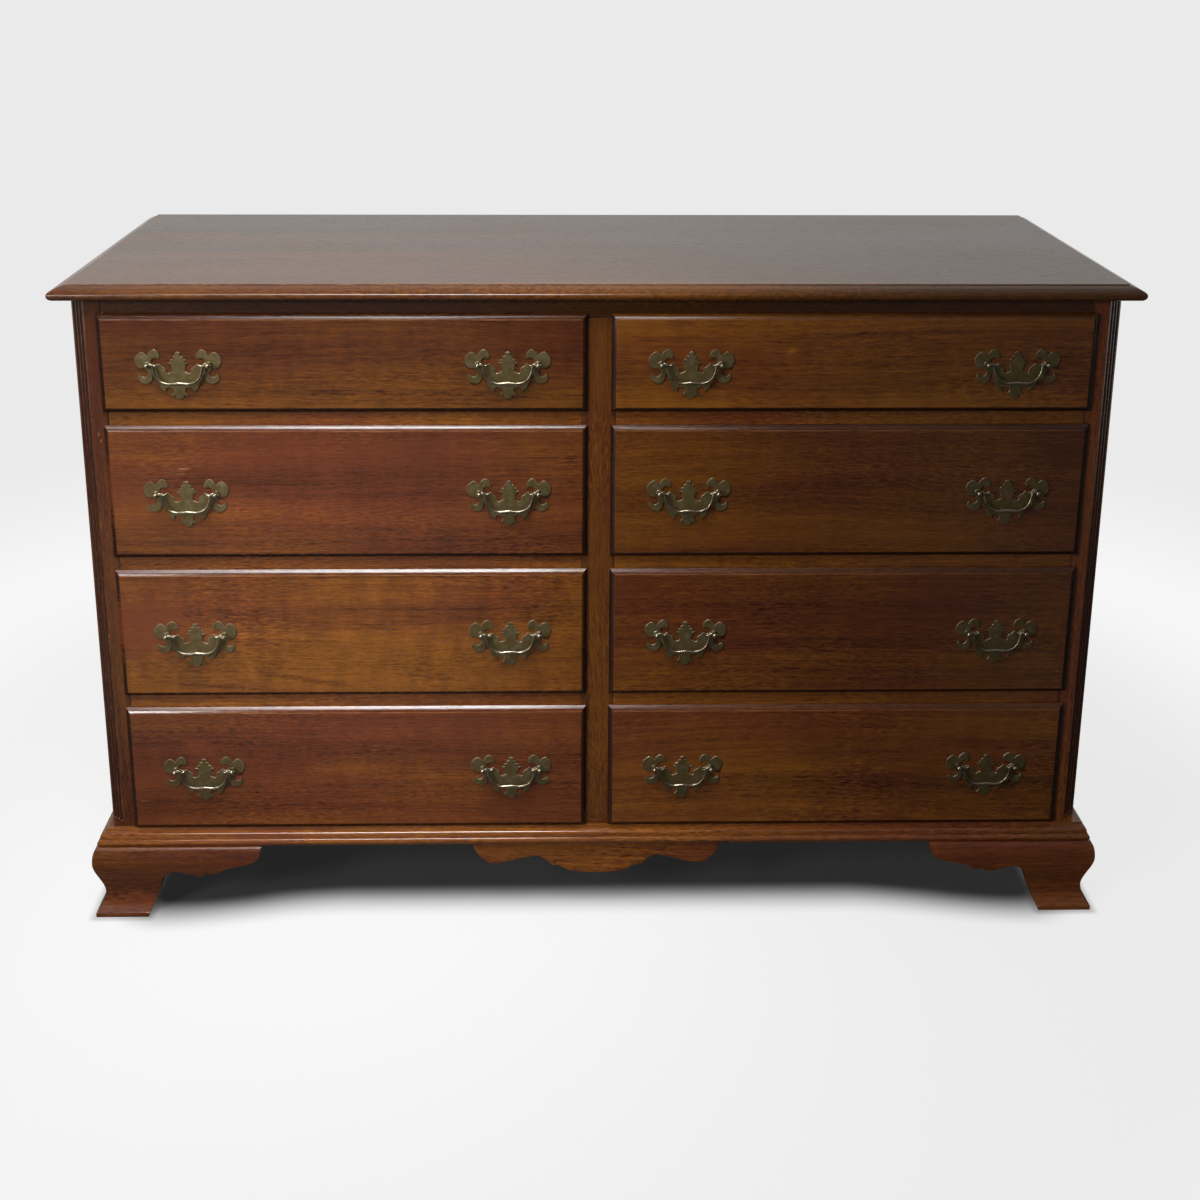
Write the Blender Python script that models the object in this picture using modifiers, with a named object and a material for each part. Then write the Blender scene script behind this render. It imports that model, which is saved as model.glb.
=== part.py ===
"""Double dresser: eight lipped drawers in two columns on ogee bracket feet.

Units are metres, +Z is up, the front faces -Y, and the origin is on the floor
under the middle of the dresser.
"""
import math

import bmesh
import bpy
import numpy as np
from mathutils import Matrix, Vector

# Top board, with the width of its moulded edge
TOP_WIDTH = 1.3716
TOP_DEPTH = 0.5334
TOP_THICK = 0.019
TOP_OVERHANG = 0.020
TOP_EDGE_WIDTH = 0.0189

# Clearance that neighbouring pieces keep, how far a cutter runs past what it
# cuts, the distance that points are welded within, and the least upright share
# of a cap's normal
GAP = 0.0003
CUT_PAST = 0.020
WELD = 0.00001
CAP_NORMAL = 0.5

# Case: face frame, side panels, centre partition and back
OUTER_STILE = 0.0416
CENTRE_STILE = 0.0428
RAIL = 0.0304
TOP_RAIL = 0.0244
LOW_ROW_HEIGHT = 0.1666
TOP_ROW_HEIGHT = 0.1154
LOW_ROWS = 3
FRAME_THICK = 0.025
SIDE_THICK = 0.018
PARTITION_THICK = 0.019
BACK_THICK = 0.006
BACK_RABBET = 0.008
RUNNER_THICK = 0.018
RUNNER_REACH = 0.014
GUIDE_HEIGHT = 0.016

# Canted and fluted front corners
CANT = 0.020
FLUTE_COUNT = 3
FLUTE_PITCH = 0.0078
FLUTE_RADIUS = 0.0030
FLUTE_PROUD = 0.0008
FLUTE_STOP = 0.004
FLUTE_SIDES = 12

# Base moulding round the front and sides
MOULD_HEIGHT = 0.0235
MOULD_PROUD = 0.0149

# Ogee bracket feet
FOOT_HEIGHT = 0.1042
FOOT_FRONT_LENGTH = 0.2300
FOOT_SIDE_LENGTH = 0.1850
FOOT_TOP_PROUD = 0.0165
FOOT_BULGE_PROUD = 0.0220
FOOT_BULGE_Z = 0.080
FOOT_WAIST_PROUD = 0.0097
FOOT_WAIST_Z = 0.036
FOOT_PAD_Z = 0.0070
FOOT_LEG_WIDTH = 0.0715
FOOT_WALL = 0.014
FOOT_BLOCK = 0.030
FOOT_WAIST_STEPS = 5
FOOT_SHOULDER_STEPS = 2

# Shaped drop under the middle of the base moulding
DROP_HALF_WIDTH = 0.1710
DROP_DEPTH = 0.0492
DROP_THICK = 0.016
DROP_PROUD = 0.007

# Lipped drawer fronts
LIP_OVER = 0.00635
LIP_EDGE = 0.003
FRONT_PROUD = 0.009
FRONT_TENON = 0.010
FRONT_CLEARANCE = 0.0010
LIP_STEPS = 3

# Drawer boxes
BOX_WALL = 0.012
BOX_BOTTOM = 0.006
BOX_BOTTOM_RAISE = 0.010
BOX_SIDE_CLEARANCE = 0.0012
BOX_HEAD_ROOM = 0.024
BOX_BACK_ROOM = 0.012

# Pulls: a pierced backplate with two ball-headed posts, and a swinging bail
PULL_FROM_SIDE = 0.0946
POST_BORE = 0.0762
PLATE_PAST_POST = 0.0162
PLATE_BELOW_POST = 0.0452
PLATE_THICK = 0.0016
POST_RADIUS = 0.0032
POST_LENGTH = 0.0064
BALL_RADIUS = 0.0034
BALL_CENTRE = 0.0077
PIVOT_PROUD = 0.0052
POST_SIDES = 8
PIN_CLEARANCE = 0.0003
PIN_HOLE_SIDES = 6
BAIL_WIRE = 0.0030
BAIL_INSIDE_POST = 0.0073
BAIL_CORNER = 0.0022
BAIL_ROUND = 0.58
BAIL_ROUND_STEPS = 4
BAIL_DROP = 0.0235
BAIL_SWELL = 0.0010
BAIL_BULGE = 0.0022
BAIL_PIN_PAST_POST = 0.0004

# Derived places
CASE_WIDTH = TOP_WIDTH - 2 * TOP_OVERHANG
CASE_DEPTH = TOP_DEPTH - TOP_OVERHANG
CASE_HALF = CASE_WIDTH / 2
FACE_Y = (max(FOOT_BULGE_PROUD, TOP_OVERHANG) - CASE_DEPTH) / 2
BACK_Y = FACE_Y + CASE_DEPTH
CASE_BOTTOM = FOOT_HEIGHT + GAP
ROW_HEIGHTS = [LOW_ROW_HEIGHT] * LOW_ROWS + [TOP_ROW_HEIGHT]
ROW_COUNT = len(ROW_HEIGHTS)
ROW_BOTTOMS = [CASE_BOTTOM + RAIL * (k + 1) + sum(ROW_HEIGHTS[:k]) for k in range(ROW_COUNT)]
CASE_TOP = ROW_BOTTOMS[-1] + ROW_HEIGHTS[-1] + TOP_RAIL
MOULD_TOP = CASE_BOTTOM + MOULD_HEIGHT
OPENING_WIDTH = (CASE_WIDTH - CENTRE_STILE - 2 * OUTER_STILE) / 2
OPENING_CENTRE = (CENTRE_STILE + OPENING_WIDTH) / 2
BEHIND_FRAME = FACE_Y + FRAME_THICK + GAP
BACK_PANEL_Y = BACK_Y - BACK_THICK
BOX_FRONT_Y = FACE_Y + FRONT_TENON + GAP
BOX_REAR_Y = BACK_PANEL_Y - BOX_BACK_ROOM
PLATE_BACK_Y = FACE_Y - FRONT_PROUD - GAP
PLATE_FRONT_Y = PLATE_BACK_Y - PLATE_THICK
PIVOT_Y = PLATE_FRONT_Y - PIVOT_PROUD

# The outlines below are drawn in millimetres, as a full-size drawing is, and
# are stretched to the sizes above.

# How far each step of the base moulding stands out, and its height above the
# moulding's underside, from the top ledge down over the ovolo and the bead
MOULD_PROFILE = [
    (4.5, 23.5), (5.2, 18.5), (6.5, 17.9), (9.2, 16.8), (10.8, 14.6), (11.4, 11.0),
    (11.6, 9.0), (13.2, 8.2), (14.9, 5.0), (14.3, 2.4), (13.0, 0.0),
]

# How far in from the nose each step of the top's edge lies, and how far
# below the top surface, from the arris down over the cove and round the nose
TOP_PROFILE = [
    (18.9, 0.0), (18.2, 1.2), (13.5, 3.0), (8.5, 4.6), (4.2, 6.2),
    (1.2, 8.8), (0.0, 12.2), (1.0, 15.6), (4.0, 18.2), (7.5, 19.0),
]

# The bracket foot's lower edge, from the leg's inner corner on the floor to
# the bracket's end: distance past the leg, height
FOOT_OUTLINE = [
    (0.0, 0.0), (18.4, 44.6), (21.5, 55.5), (29.5, 64.5), (43.0, 68.5),
    (56.0, 64.0), (73.5, 57.8), (83.0, 65.2), (96.0, 63.2), (116.0, 75.0),
    (145.0, 82.2), (154.0, 89.5), (158.5, 104.2),
]

# Half of the drop's lower edge: distance from the middle, depth below its top
DROP_OUTLINE = [
    (171.0, 0.0), (165.0, 16.0), (153.9, 28.5), (140.6, 33.3), (119.7, 30.0), (95.8, 24.0),
    (82.1, 22.2), (72.7, 26.0), (59.0, 37.8), (53.9, 36.2), (34.2, 45.5), (0.0, 49.2),
]

# Half of the backplate's outline, from the crest round to the bottom drop:
# distance from the middle, height above the line between the posts
PLATE_OUTLINE = [
    (0.0, 16.7), (2.6, 16.0), (5.7, 9.4), (6.0, 6.0), (12.2, 0.8), (9.0, -2.0),
    (7.4, -8.0), (13.2, -11.4), (15.8, -5.0), (23.4, 1.6), (29.0, -1.0), (33.2, 4.0),
    (28.8, 9.2), (24.4, 7.0), (22.6, 11.5), (30.6, 19.6), (38.2, 11.2), (46.2, 16.3),
    (52.8, 11.0), (54.3, 5.0), (51.0, -3.0), (43.0, -5.6), (39.0, -12.5), (44.0, -16.1),
    (49.4, -11.3), (50.0, -20.0), (42.0, -24.9), (34.0, -21.2), (32.0, -11.8), (25.2, -27.0),
    (17.4, -36.3), (15.0, -30.0), (8.0, -31.4), (10.8, -38.9), (5.0, -42.0), (0.0, -45.2),
]

MAHOGANY = (0.13, 0.035, 0.016, 1.0)
DRAWER_WOOD = (0.42, 0.27, 0.14, 1.0)
PLYWOOD = (0.30, 0.18, 0.09, 1.0)
BRASS = (0.23, 0.17, 0.075, 1.0)


def clear_scene():
    for item in list(bpy.data.objects):
        bpy.data.objects.remove(item, do_unlink=True)


def new_collection(name):
    group = bpy.data.collections.new(name)
    bpy.context.scene.collection.children.link(group)
    return group


def finish_material(name, color, roughness, metallic):
    """A Principled material of one plain colour."""
    material = bpy.data.materials.new(name)
    material.use_nodes = True
    shader = material.node_tree.nodes["Principled BSDF"]
    shader.inputs["Base Color"].default_value = color
    shader.inputs["Roughness"].default_value = roughness
    shader.inputs["Metallic"].default_value = metallic
    return material


def wood(obj, color=MAHOGANY, roughness=0.35):
    obj.data.materials.append(finish_material(obj.name + "_wood", color, roughness, 0.0))


def brass(obj):
    obj.data.materials.append(finish_material(obj.name + "_brass", BRASS, 0.35, 1.0))


def mesh_object(name, mesh, group):
    obj = bpy.data.objects.new(name, mesh)
    group.objects.link(obj)
    return obj


def from_bmesh(name, bm, group):
    """A mesh object whose faces all point outwards."""
    bmesh.ops.recalc_face_normals(bm, faces=bm.faces[:])
    if bm.calc_volume(signed=True) < 0.0:
        bmesh.ops.reverse_faces(bm, faces=bm.faces[:])
    mesh = bpy.data.meshes.new(name)
    bm.to_mesh(mesh)
    bm.free()
    return mesh_object(name, mesh, group)


def box(name, low, high, group):
    """A box between two corners, as a unit cube moved and sized in its mesh."""
    low = Vector(low)
    high = Vector(high)
    place = Matrix.Translation((low + high) / 2) @ Matrix.Diagonal((*(high - low), 1.0))
    bm = bmesh.new()
    bmesh.ops.create_cube(bm, size=1.0, matrix=place)
    return from_bmesh(name, bm, group)


def loft(name, loops, group):
    """Join closed loops of equal length into one skin, with a cap at each end."""
    bm = bmesh.new()
    rings = [[bm.verts.new(point) for point in loop] for loop in loops]
    count = len(rings[0])
    for near, far in zip(rings, rings[1:]):
        for k in range(count):
            after = (k + 1) % count
            bm.faces.new((near[k], near[after], far[after], far[k]))
    bm.faces.new(rings[0])
    bm.faces.new(rings[-1])
    return from_bmesh(name, bm, group)


def flat_curve(name, outline, thick, group):
    """A filled 2D curve, extruded to its thickness."""
    curve = bpy.data.curves.new(name, "CURVE")
    curve.dimensions = "2D"
    curve.fill_mode = "BOTH"
    curve.extrude = thick / 2
    spline = curve.splines.new("POLY")
    spline.points.add(len(outline) - 1)
    for point, place in zip(spline.points, outline):
        point.co = (place[0], place[1], 0.0, 1.0)
    spline.use_cyclic_u = True
    obj = bpy.data.objects.new(name, curve)
    group.objects.link(obj)
    return obj


def to_mesh(obj, group):
    """Replace a flat curve by a mesh at the same place, with one face to a cap."""
    bpy.context.view_layer.update()
    evaluated = obj.evaluated_get(bpy.context.evaluated_depsgraph_get())
    mesh = bpy.data.meshes.new_from_object(evaluated)
    name = obj.name
    place = obj.matrix_world.copy()
    bpy.data.objects.remove(obj, do_unlink=True)
    bm = bmesh.new()
    bm.from_mesh(mesh)
    bmesh.ops.remove_doubles(bm, verts=bm.verts[:], dist=WELD)
    bm.normal_update()
    caps = [face for face in bm.faces if abs(face.normal.z) > CAP_NORMAL]
    bmesh.ops.delete(bm, geom=caps, context="FACES")
    rims = [edge for edge in bm.edges if edge.is_boundary]
    bmesh.ops.holes_fill(bm, edges=rims, sides=0)
    bm.transform(place)
    bpy.data.meshes.remove(mesh)
    return from_bmesh(name, bm, group)


def upright_board(name, outline, y_front, thick, group):
    """A board whose outline is given in X and Z, with its front at y_front."""
    obj = flat_curve(name, outline, thick, group)
    obj.rotation_euler = (math.pi / 2, 0.0, 0.0)
    obj.location = (0.0, y_front + thick / 2, 0.0)
    return to_mesh(obj, group)


def side_board(name, outline, x_left, thick, group):
    """A board whose outline is given in Y and Z, with its left face at x_left."""
    obj = flat_curve(name, outline, thick, group)
    obj.rotation_euler = (math.pi / 2, 0.0, math.pi / 2)
    obj.location = (x_left + thick / 2, 0.0, 0.0)
    return to_mesh(obj, group)


def flat_board(name, outline, z_low, thick, group):
    """A board whose outline is given in X and Y, with its underside at z_low."""
    obj = flat_curve(name, outline, thick, group)
    obj.location = (0.0, 0.0, z_low + thick / 2)
    return to_mesh(obj, group)


def as_cutter(obj):
    obj.hide_render = True
    obj.display_type = "WIRE"
    return obj


def boolean(obj, other, operation):
    step = obj.modifiers.new(other.name, "BOOLEAN")
    step.operation = operation
    step.object = as_cutter(other)


def parent_to(empty, *pieces):
    bpy.context.view_layer.update()
    for piece in pieces:
        place = piece.matrix_world.copy()
        piece.parent = empty
        piece.matrix_parent_inverse = empty.matrix_world.inverted()
        piece.matrix_world = place


def mirrored(half, sign):
    return [(sign * x, z) for x, z in half]


def whole(half):
    """A closed outline from its right half, which starts and ends in the middle."""
    return half + mirrored(reversed(half[1:-1]), -1)


def stretched(outline, across, along):
    """The outline with its greatest distances brought to across and along."""
    widest = max(abs(u) for u, v in outline)
    longest = max(abs(v) for u, v in outline)
    return [(u * across / widest, v * along / longest) for u, v in outline]


# Case

def make_top(parts):
    """The top: one board with a moulded edge on its front and both ends."""
    upper = CASE_TOP + GAP + TOP_THICK
    loops = []
    for inset, below in stretched(TOP_PROFILE, TOP_EDGE_WIDTH, TOP_THICK):
        x = TOP_WIDTH / 2 - inset
        front = BACK_Y - TOP_DEPTH + inset
        z = upper - below
        loops.append([(-x, front, z), (x, front, z), (x, BACK_Y, z), (-x, BACK_Y, z)])
    wood(loft("top_board", loops, parts))


def openings_cutter(cutters):
    """The eight drawer openings, as blocks that pass through the face frame."""
    bm = bmesh.new()
    for centre in (-OPENING_CENTRE, OPENING_CENTRE):
        for bottom, height in zip(ROW_BOTTOMS, ROW_HEIGHTS):
            middle = Vector((centre, FACE_Y + FRAME_THICK / 2, bottom + height / 2))
            size = Matrix.Diagonal((OPENING_WIDTH, FRAME_THICK + 2 * CUT_PAST, height, 1.0))
            bmesh.ops.create_cube(bm, size=1.0, matrix=Matrix.Translation(middle) @ size)
    return from_bmesh("openings_cutter", bm, cutters)


def cant_cutter(side, cutters):
    """The corner that is planed off, from the base moulding to past the top."""
    corner = side * CASE_HALF
    outline = [
        (corner - side * CANT, FACE_Y),
        (corner - side * CANT, FACE_Y - CUT_PAST),
        (corner + side * CUT_PAST, FACE_Y - CUT_PAST),
        (corner + side * CUT_PAST, FACE_Y + CANT),
        (corner, FACE_Y + CANT),
    ]
    height = CASE_TOP - MOULD_TOP + CUT_PAST
    return flat_board(f"cant_cutter_{side}", outline, MOULD_TOP, height, cutters)


def flute_cutter(side, cutters):
    """Upright rods, evenly spaced across the cant, that cut its flutes."""
    middle = Vector((side * (CASE_HALF - CANT / 2), FACE_Y + CANT / 2, 0.0))
    along = Vector((side, 1.0, 0.0)).normalized()
    outward = Vector((side, -1.0, 0.0)).normalized()
    low = MOULD_TOP + FLUTE_STOP
    height = CASE_TOP + CUT_PAST - low
    bm = bmesh.new()
    for k in range(FLUTE_COUNT):
        across = (k - (FLUTE_COUNT - 1) / 2) * FLUTE_PITCH
        centre = middle + along * across + outward * FLUTE_PROUD
        centre.z = low + height / 2
        bmesh.ops.create_cone(bm, cap_ends=True, segments=FLUTE_SIDES, radius1=FLUTE_RADIUS,
                              radius2=FLUTE_RADIUS, depth=height, matrix=Matrix.Translation(centre))
    return from_bmesh(f"flute_cutter_{side}", bm, cutters)


def make_face_frame(parts, cutters):
    """Stiles and rails glued up as one frame, with canted and fluted corners."""
    frame = box("face_frame", (-CASE_HALF, FACE_Y, CASE_BOTTOM),
                (CASE_HALF, FACE_Y + FRAME_THICK, CASE_TOP), parts)
    boolean(frame, openings_cutter(cutters), "DIFFERENCE")
    for side in (-1, 1):
        boolean(frame, cant_cutter(side, cutters), "DIFFERENCE")
        boolean(frame, flute_cutter(side, cutters), "DIFFERENCE")
    wood(frame)


def runner_steps(wall, shelf, guide):
    """The inner edge of a panel with an L-shaped runner under each drawer.

    wall, shelf and guide are the places across of the panel's face, of the
    runner's inner edge and of the guide's face.
    """
    points = []
    for bottom in ROW_BOTTOMS:
        points += [
            (wall, bottom - RUNNER_THICK), (shelf, bottom - RUNNER_THICK), (shelf, bottom),
            (guide, bottom), (guide, bottom + GUIDE_HEIGHT), (wall, bottom + GUIDE_HEIGHT),
        ]
    return points


def make_side_panel(side, parts, cutters):
    """A side of the case with its four drawer runners, rabbeted for the back."""
    name = "left_side_panel" if side < 0 else "right_side_panel"
    inner = CASE_HALF - SIDE_THICK
    guide = CENTRE_STILE / 2 + OPENING_WIDTH
    outline = [(inner, CASE_BOTTOM)] + runner_steps(inner, guide - RUNNER_REACH, guide)
    outline += [(inner, CASE_TOP), (CASE_HALF, CASE_TOP), (CASE_HALF, CASE_BOTTOM)]
    panel = upright_board(name, mirrored(outline, side), BEHIND_FRAME, BACK_Y - BEHIND_FRAME, parts)
    across = sorted((side * (inner + BACK_RABBET), side * CENTRE_STILE))
    rabbet = box(name + "_rabbet", (across[0], BACK_PANEL_Y - GAP, CASE_BOTTOM - CUT_PAST),
                 (across[1], BACK_Y + CUT_PAST, CASE_TOP + CUT_PAST), cutters)
    boolean(panel, rabbet, "DIFFERENCE")
    wood(panel)


def make_partition(parts):
    """The upright board between the two columns, with runners on both faces."""
    wall = PARTITION_THICK / 2
    guide = CENTRE_STILE / 2
    right = [(wall, CASE_BOTTOM)] + runner_steps(wall, guide + RUNNER_REACH, guide) + [(wall, CASE_TOP)]
    outline = right + mirrored(reversed(right), -1)
    depth = BACK_PANEL_Y - GAP - BEHIND_FRAME
    wood(upright_board("centre_partition", outline, BEHIND_FRAME, depth, parts), DRAWER_WOOD, 0.6)


def make_back(parts):
    """A thin sheet let into the rabbets of the side panels."""
    half = CASE_HALF - SIDE_THICK + BACK_RABBET - GAP
    back = box("back_panel", (-half, BACK_PANEL_Y, CASE_BOTTOM), (half, BACK_Y, CASE_TOP), parts)
    wood(back, PLYWOOD, 0.7)


def make_base_moulding(parts, cutters):
    """A moulding mitred round the front and both sides of the case."""
    loops = []
    for proud, height in stretched(MOULD_PROFILE, MOULD_PROUD, MOULD_HEIGHT):
        x = CASE_HALF + proud
        z = CASE_BOTTOM + height
        loops.append([(-x, FACE_Y - proud, z), (x, FACE_Y - proud, z), (x, BACK_Y, z), (-x, BACK_Y, z)])
    moulding = loft("base_moulding", loops, parts)
    reach = CASE_HALF + GAP
    inside = box("base_moulding_inside", (-reach, FACE_Y - GAP, CASE_BOTTOM - CUT_PAST),
                 (reach, BACK_Y + CUT_PAST, MOULD_TOP + CUT_PAST), cutters)
    boolean(moulding, inside, "DIFFERENCE")
    wood(moulding)


# Feet and drop

def ogee_profile():
    """The foot's face from the floor up: pad, flare, waist, bulge and top."""
    points = [(FOOT_BULGE_PROUD, 0.0), (FOOT_BULGE_PROUD, FOOT_PAD_Z)]
    for t in np.linspace(0.0, 1.0, FOOT_WAIST_STEPS + 1):
        swell = (1.0 - math.cos(math.pi * t)) / 2
        proud = FOOT_WAIST_PROUD + (FOOT_BULGE_PROUD - FOOT_WAIST_PROUD) * swell
        points.append((proud, FOOT_WAIST_Z + (FOOT_BULGE_Z - FOOT_WAIST_Z) * t))
    for t in np.linspace(0.0, 1.0, FOOT_SHOULDER_STEPS + 1)[1:]:
        proud = FOOT_BULGE_PROUD - (FOOT_BULGE_PROUD - FOOT_TOP_PROUD) * t * t
        points.append((proud, FOOT_BULGE_Z + (FOOT_HEIGHT - FOOT_BULGE_Z) * t))
    return points


def bracket_edge(start, length, sign):
    """The scalloped lower edge of a bracket, closed below the floor.

    start is the outer edge of the leg, length the bracket's whole length.
    """
    leg = start + sign * FOOT_LEG_WIDTH
    shape = stretched(FOOT_OUTLINE, length - FOOT_LEG_WIDTH, FOOT_HEIGHT)
    points = [(leg + sign * past, height) for past, height in shape]
    beyond = start + sign * (length + CUT_PAST)
    return points + [(beyond, FOOT_HEIGHT + CUT_PAST), (beyond, -CUT_PAST), (leg, -CUT_PAST)]


def make_foot(side, front, parts, cutters):
    """Two mitred bracket boards with an ogee face, and the block glued behind."""
    name = ("front_" if front else "rear_") + ("left_foot" if side < 0 else "right_foot")
    inward = 1 if front else -1
    corner_x = side * CASE_HALF
    corner_y = FACE_Y if front else BACK_Y
    end_x = corner_x - side * (FOOT_FRONT_LENGTH - FOOT_BULGE_PROUD)
    end_y = corner_y + inward * FOOT_SIDE_LENGTH
    loops = []
    for proud, z in ogee_profile():
        x = corner_x + side * proud
        y = corner_y - proud if front else corner_y
        loops.append([(x, y, z), (end_x, y, z), (end_x, end_y, z), (x, end_y, z)])
    foot = loft(name, loops, parts)

    wall_x = corner_x - side * FOOT_WALL
    wall_y = corner_y + inward * FOOT_WALL
    block_x = wall_x - side * FOOT_BLOCK
    block_y = wall_y + inward * FOOT_BLOCK
    past_x = end_x - side * CUT_PAST
    past_y = end_y + inward * CUT_PAST
    hollow = [(block_x, wall_y), (past_x, wall_y), (past_x, past_y),
              (wall_x, past_y), (wall_x, block_y), (block_x, block_y)]
    under = flat_board(name + "_hollow", hollow, -CUT_PAST, FOOT_HEIGHT + 2 * CUT_PAST, cutters)
    boolean(foot, under, "DIFFERENCE")

    edge = bracket_edge(corner_x + side * FOOT_BULGE_PROUD, FOOT_FRONT_LENGTH, -side)
    depth = FOOT_BULGE_PROUD + FOOT_WALL + 2 * CUT_PAST
    near = corner_y - (FOOT_BULGE_PROUD if front else FOOT_WALL) - CUT_PAST
    boolean(foot, upright_board(name + "_front_edge", edge, near, depth, cutters), "DIFFERENCE")

    proud = FOOT_BULGE_PROUD if front else 0.0
    edge = bracket_edge(corner_y - inward * proud, FOOT_SIDE_LENGTH + proud, inward)
    near = min(corner_x + side * FOOT_BULGE_PROUD, corner_x - side * FOOT_WALL) - CUT_PAST
    boolean(foot, side_board(name + "_side_edge", edge, near, depth, cutters), "DIFFERENCE")
    wood(foot)


def make_drop(parts):
    """The shaped board that hangs under the middle of the base moulding."""
    shape = stretched(DROP_OUTLINE, DROP_HALF_WIDTH, DROP_DEPTH)
    half = [(x, FOOT_HEIGHT - below) for x, below in shape]
    outline = half + mirrored(reversed(half[:-1]), -1)
    wood(upright_board("centre_drop", outline, FACE_Y - DROP_PROUD, DROP_THICK, parts))


# Drawers

def lip_profile():
    """The drawer front from its tenon to its face: inset from the lip, and Y."""
    inset = LIP_OVER + FRONT_CLEARANCE
    points = [(inset, FRONT_TENON), (inset, -GAP), (0.0, -GAP), (0.0, -LIP_EDGE)]
    for t in np.linspace(0.0, math.pi / 2, LIP_STEPS + 1)[1:]:
        points.append((LIP_OVER * (1.0 - math.cos(t)), -LIP_EDGE - (FRONT_PROUD - LIP_EDGE) * math.sin(t)))
    return points


def make_drawer_front(tag, centre, bottom, height, parts):
    """A lipped front whose edge is rounded over all the way round."""
    loops = []
    for inset, y in lip_profile():
        x0 = centre - OPENING_WIDTH / 2 - LIP_OVER + inset
        x1 = centre + OPENING_WIDTH / 2 + LIP_OVER - inset
        z0 = bottom - LIP_OVER + inset
        z1 = bottom + height + LIP_OVER - inset
        loops.append([(x0, FACE_Y + y, z0), (x1, FACE_Y + y, z0), (x1, FACE_Y + y, z1), (x0, FACE_Y + y, z1)])
    front = loft("drawer_front_" + tag, loops, parts)
    wood(front)
    return front


def make_drawer_box(tag, centre, bottom, height, parts, cutters):
    """Sides, back and bottom, open at the top and closed by the drawer front."""
    half = OPENING_WIDTH / 2 - BOX_SIDE_CLEARANCE
    low = bottom + GAP
    high = bottom + height - BOX_HEAD_ROOM
    floor = low + BOX_BOTTOM_RAISE
    name = "drawer_box_" + tag
    tray = box(name, (centre - half, BOX_FRONT_Y, low), (centre + half, BOX_REAR_Y, high), parts)
    inner = half - BOX_WALL
    inside = box(name + "_inside", (centre - inner, BOX_FRONT_Y - CUT_PAST, floor + BOX_BOTTOM),
                 (centre + inner, BOX_REAR_Y - BOX_WALL, high + CUT_PAST), cutters)
    under = box(name + "_under", (centre - inner, BOX_FRONT_Y - CUT_PAST, low - CUT_PAST),
                (centre + inner, BOX_REAR_Y - BOX_WALL, floor), cutters)
    boolean(tray, inside, "DIFFERENCE")
    boolean(tray, under, "DIFFERENCE")
    wood(tray, DRAWER_WOOD, 0.6)
    return tray


# Pulls

def make_post(name, place, cutters):
    """A turned post with a ball head, standing along -Y on the plate."""
    corner = BALL_RADIUS * math.cos(math.pi / 4)
    profile = [
        (0.0, BALL_CENTRE + BALL_RADIUS), (corner, BALL_CENTRE + corner), (BALL_RADIUS, BALL_CENTRE),
        (POST_RADIUS, POST_LENGTH), (POST_RADIUS, -PLATE_THICK / 2), (0.0, -PLATE_THICK / 2),
    ]
    mesh = bpy.data.meshes.new(name)
    edges = [(k, k + 1) for k in range(len(profile) - 1)]
    mesh.from_pydata([(radius, 0.0, out) for radius, out in profile], edges, [])
    post = mesh_object(name, mesh, cutters)
    post.location = place
    post.rotation_euler = (math.pi / 2, 0.0, 0.0)
    turn = post.modifiers.new("turn", "SCREW")
    turn.steps = POST_SIDES
    turn.render_steps = POST_SIDES
    turn.use_merge_vertices = True
    turn.merge_threshold = WELD
    return post


def make_backplate(tag, place, parts, cutters):
    """The pierced plate with its two posts, drilled across for the bail."""
    half = stretched(PLATE_OUTLINE, POST_BORE / 2 + PLATE_PAST_POST, PLATE_BELOW_POST)
    outline = [(place.x + x, place.z + z) for x, z in whole(half)]
    plate = upright_board("backplate_" + tag, outline, PLATE_FRONT_Y, PLATE_THICK, parts)
    for side in (-1, 1):
        centre = Vector((place.x + side * POST_BORE / 2, PLATE_FRONT_Y, place.z))
        post = make_post(f"post_{tag}_{side}", centre, cutters)
        boolean(plate, post, "UNION")
    radius = BAIL_WIRE / 2 + PIN_CLEARANCE
    turned = Matrix.Translation((place.x, PIVOT_Y, place.z)) @ Matrix.Rotation(math.pi / 2, 4, "Y")
    bm = bmesh.new()
    bmesh.ops.create_cone(bm, cap_ends=True, segments=PIN_HOLE_SIDES, radius1=radius, radius2=radius,
                          depth=POST_BORE + 2 * CUT_PAST, matrix=turned)
    boolean(plate, from_bmesh("pin_hole_" + tag, bm, cutters), "DIFFERENCE")
    brass(plate)
    return plate


def bail_points():
    """The bail from one pin end to the other, about the middle of its axis."""
    pin = POST_BORE / 2 + POST_RADIUS + BAIL_PIN_PAST_POST
    width = POST_BORE / 2 - BAIL_INSIDE_POST
    half = [(pin, 0.0, 0.0), (width + BAIL_CORNER, 0.0, 0.0), (width, 0.0, -BAIL_CORNER)]
    for t in np.linspace(0.0, 1.0, BAIL_ROUND_STEPS + 1)[1:]:
        angle = t * math.pi / 2
        x = width * (1.0 - BAIL_ROUND + BAIL_ROUND * math.cos(angle))
        half.append((x, -BAIL_BULGE * t, -BAIL_CORNER - (BAIL_DROP - BAIL_CORNER) * math.sin(angle)))
    middle = [(0.0, -BAIL_BULGE, -BAIL_DROP + BAIL_SWELL)]
    return half + middle + [(-x, y, z) for x, y, z in reversed(half)]


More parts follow.
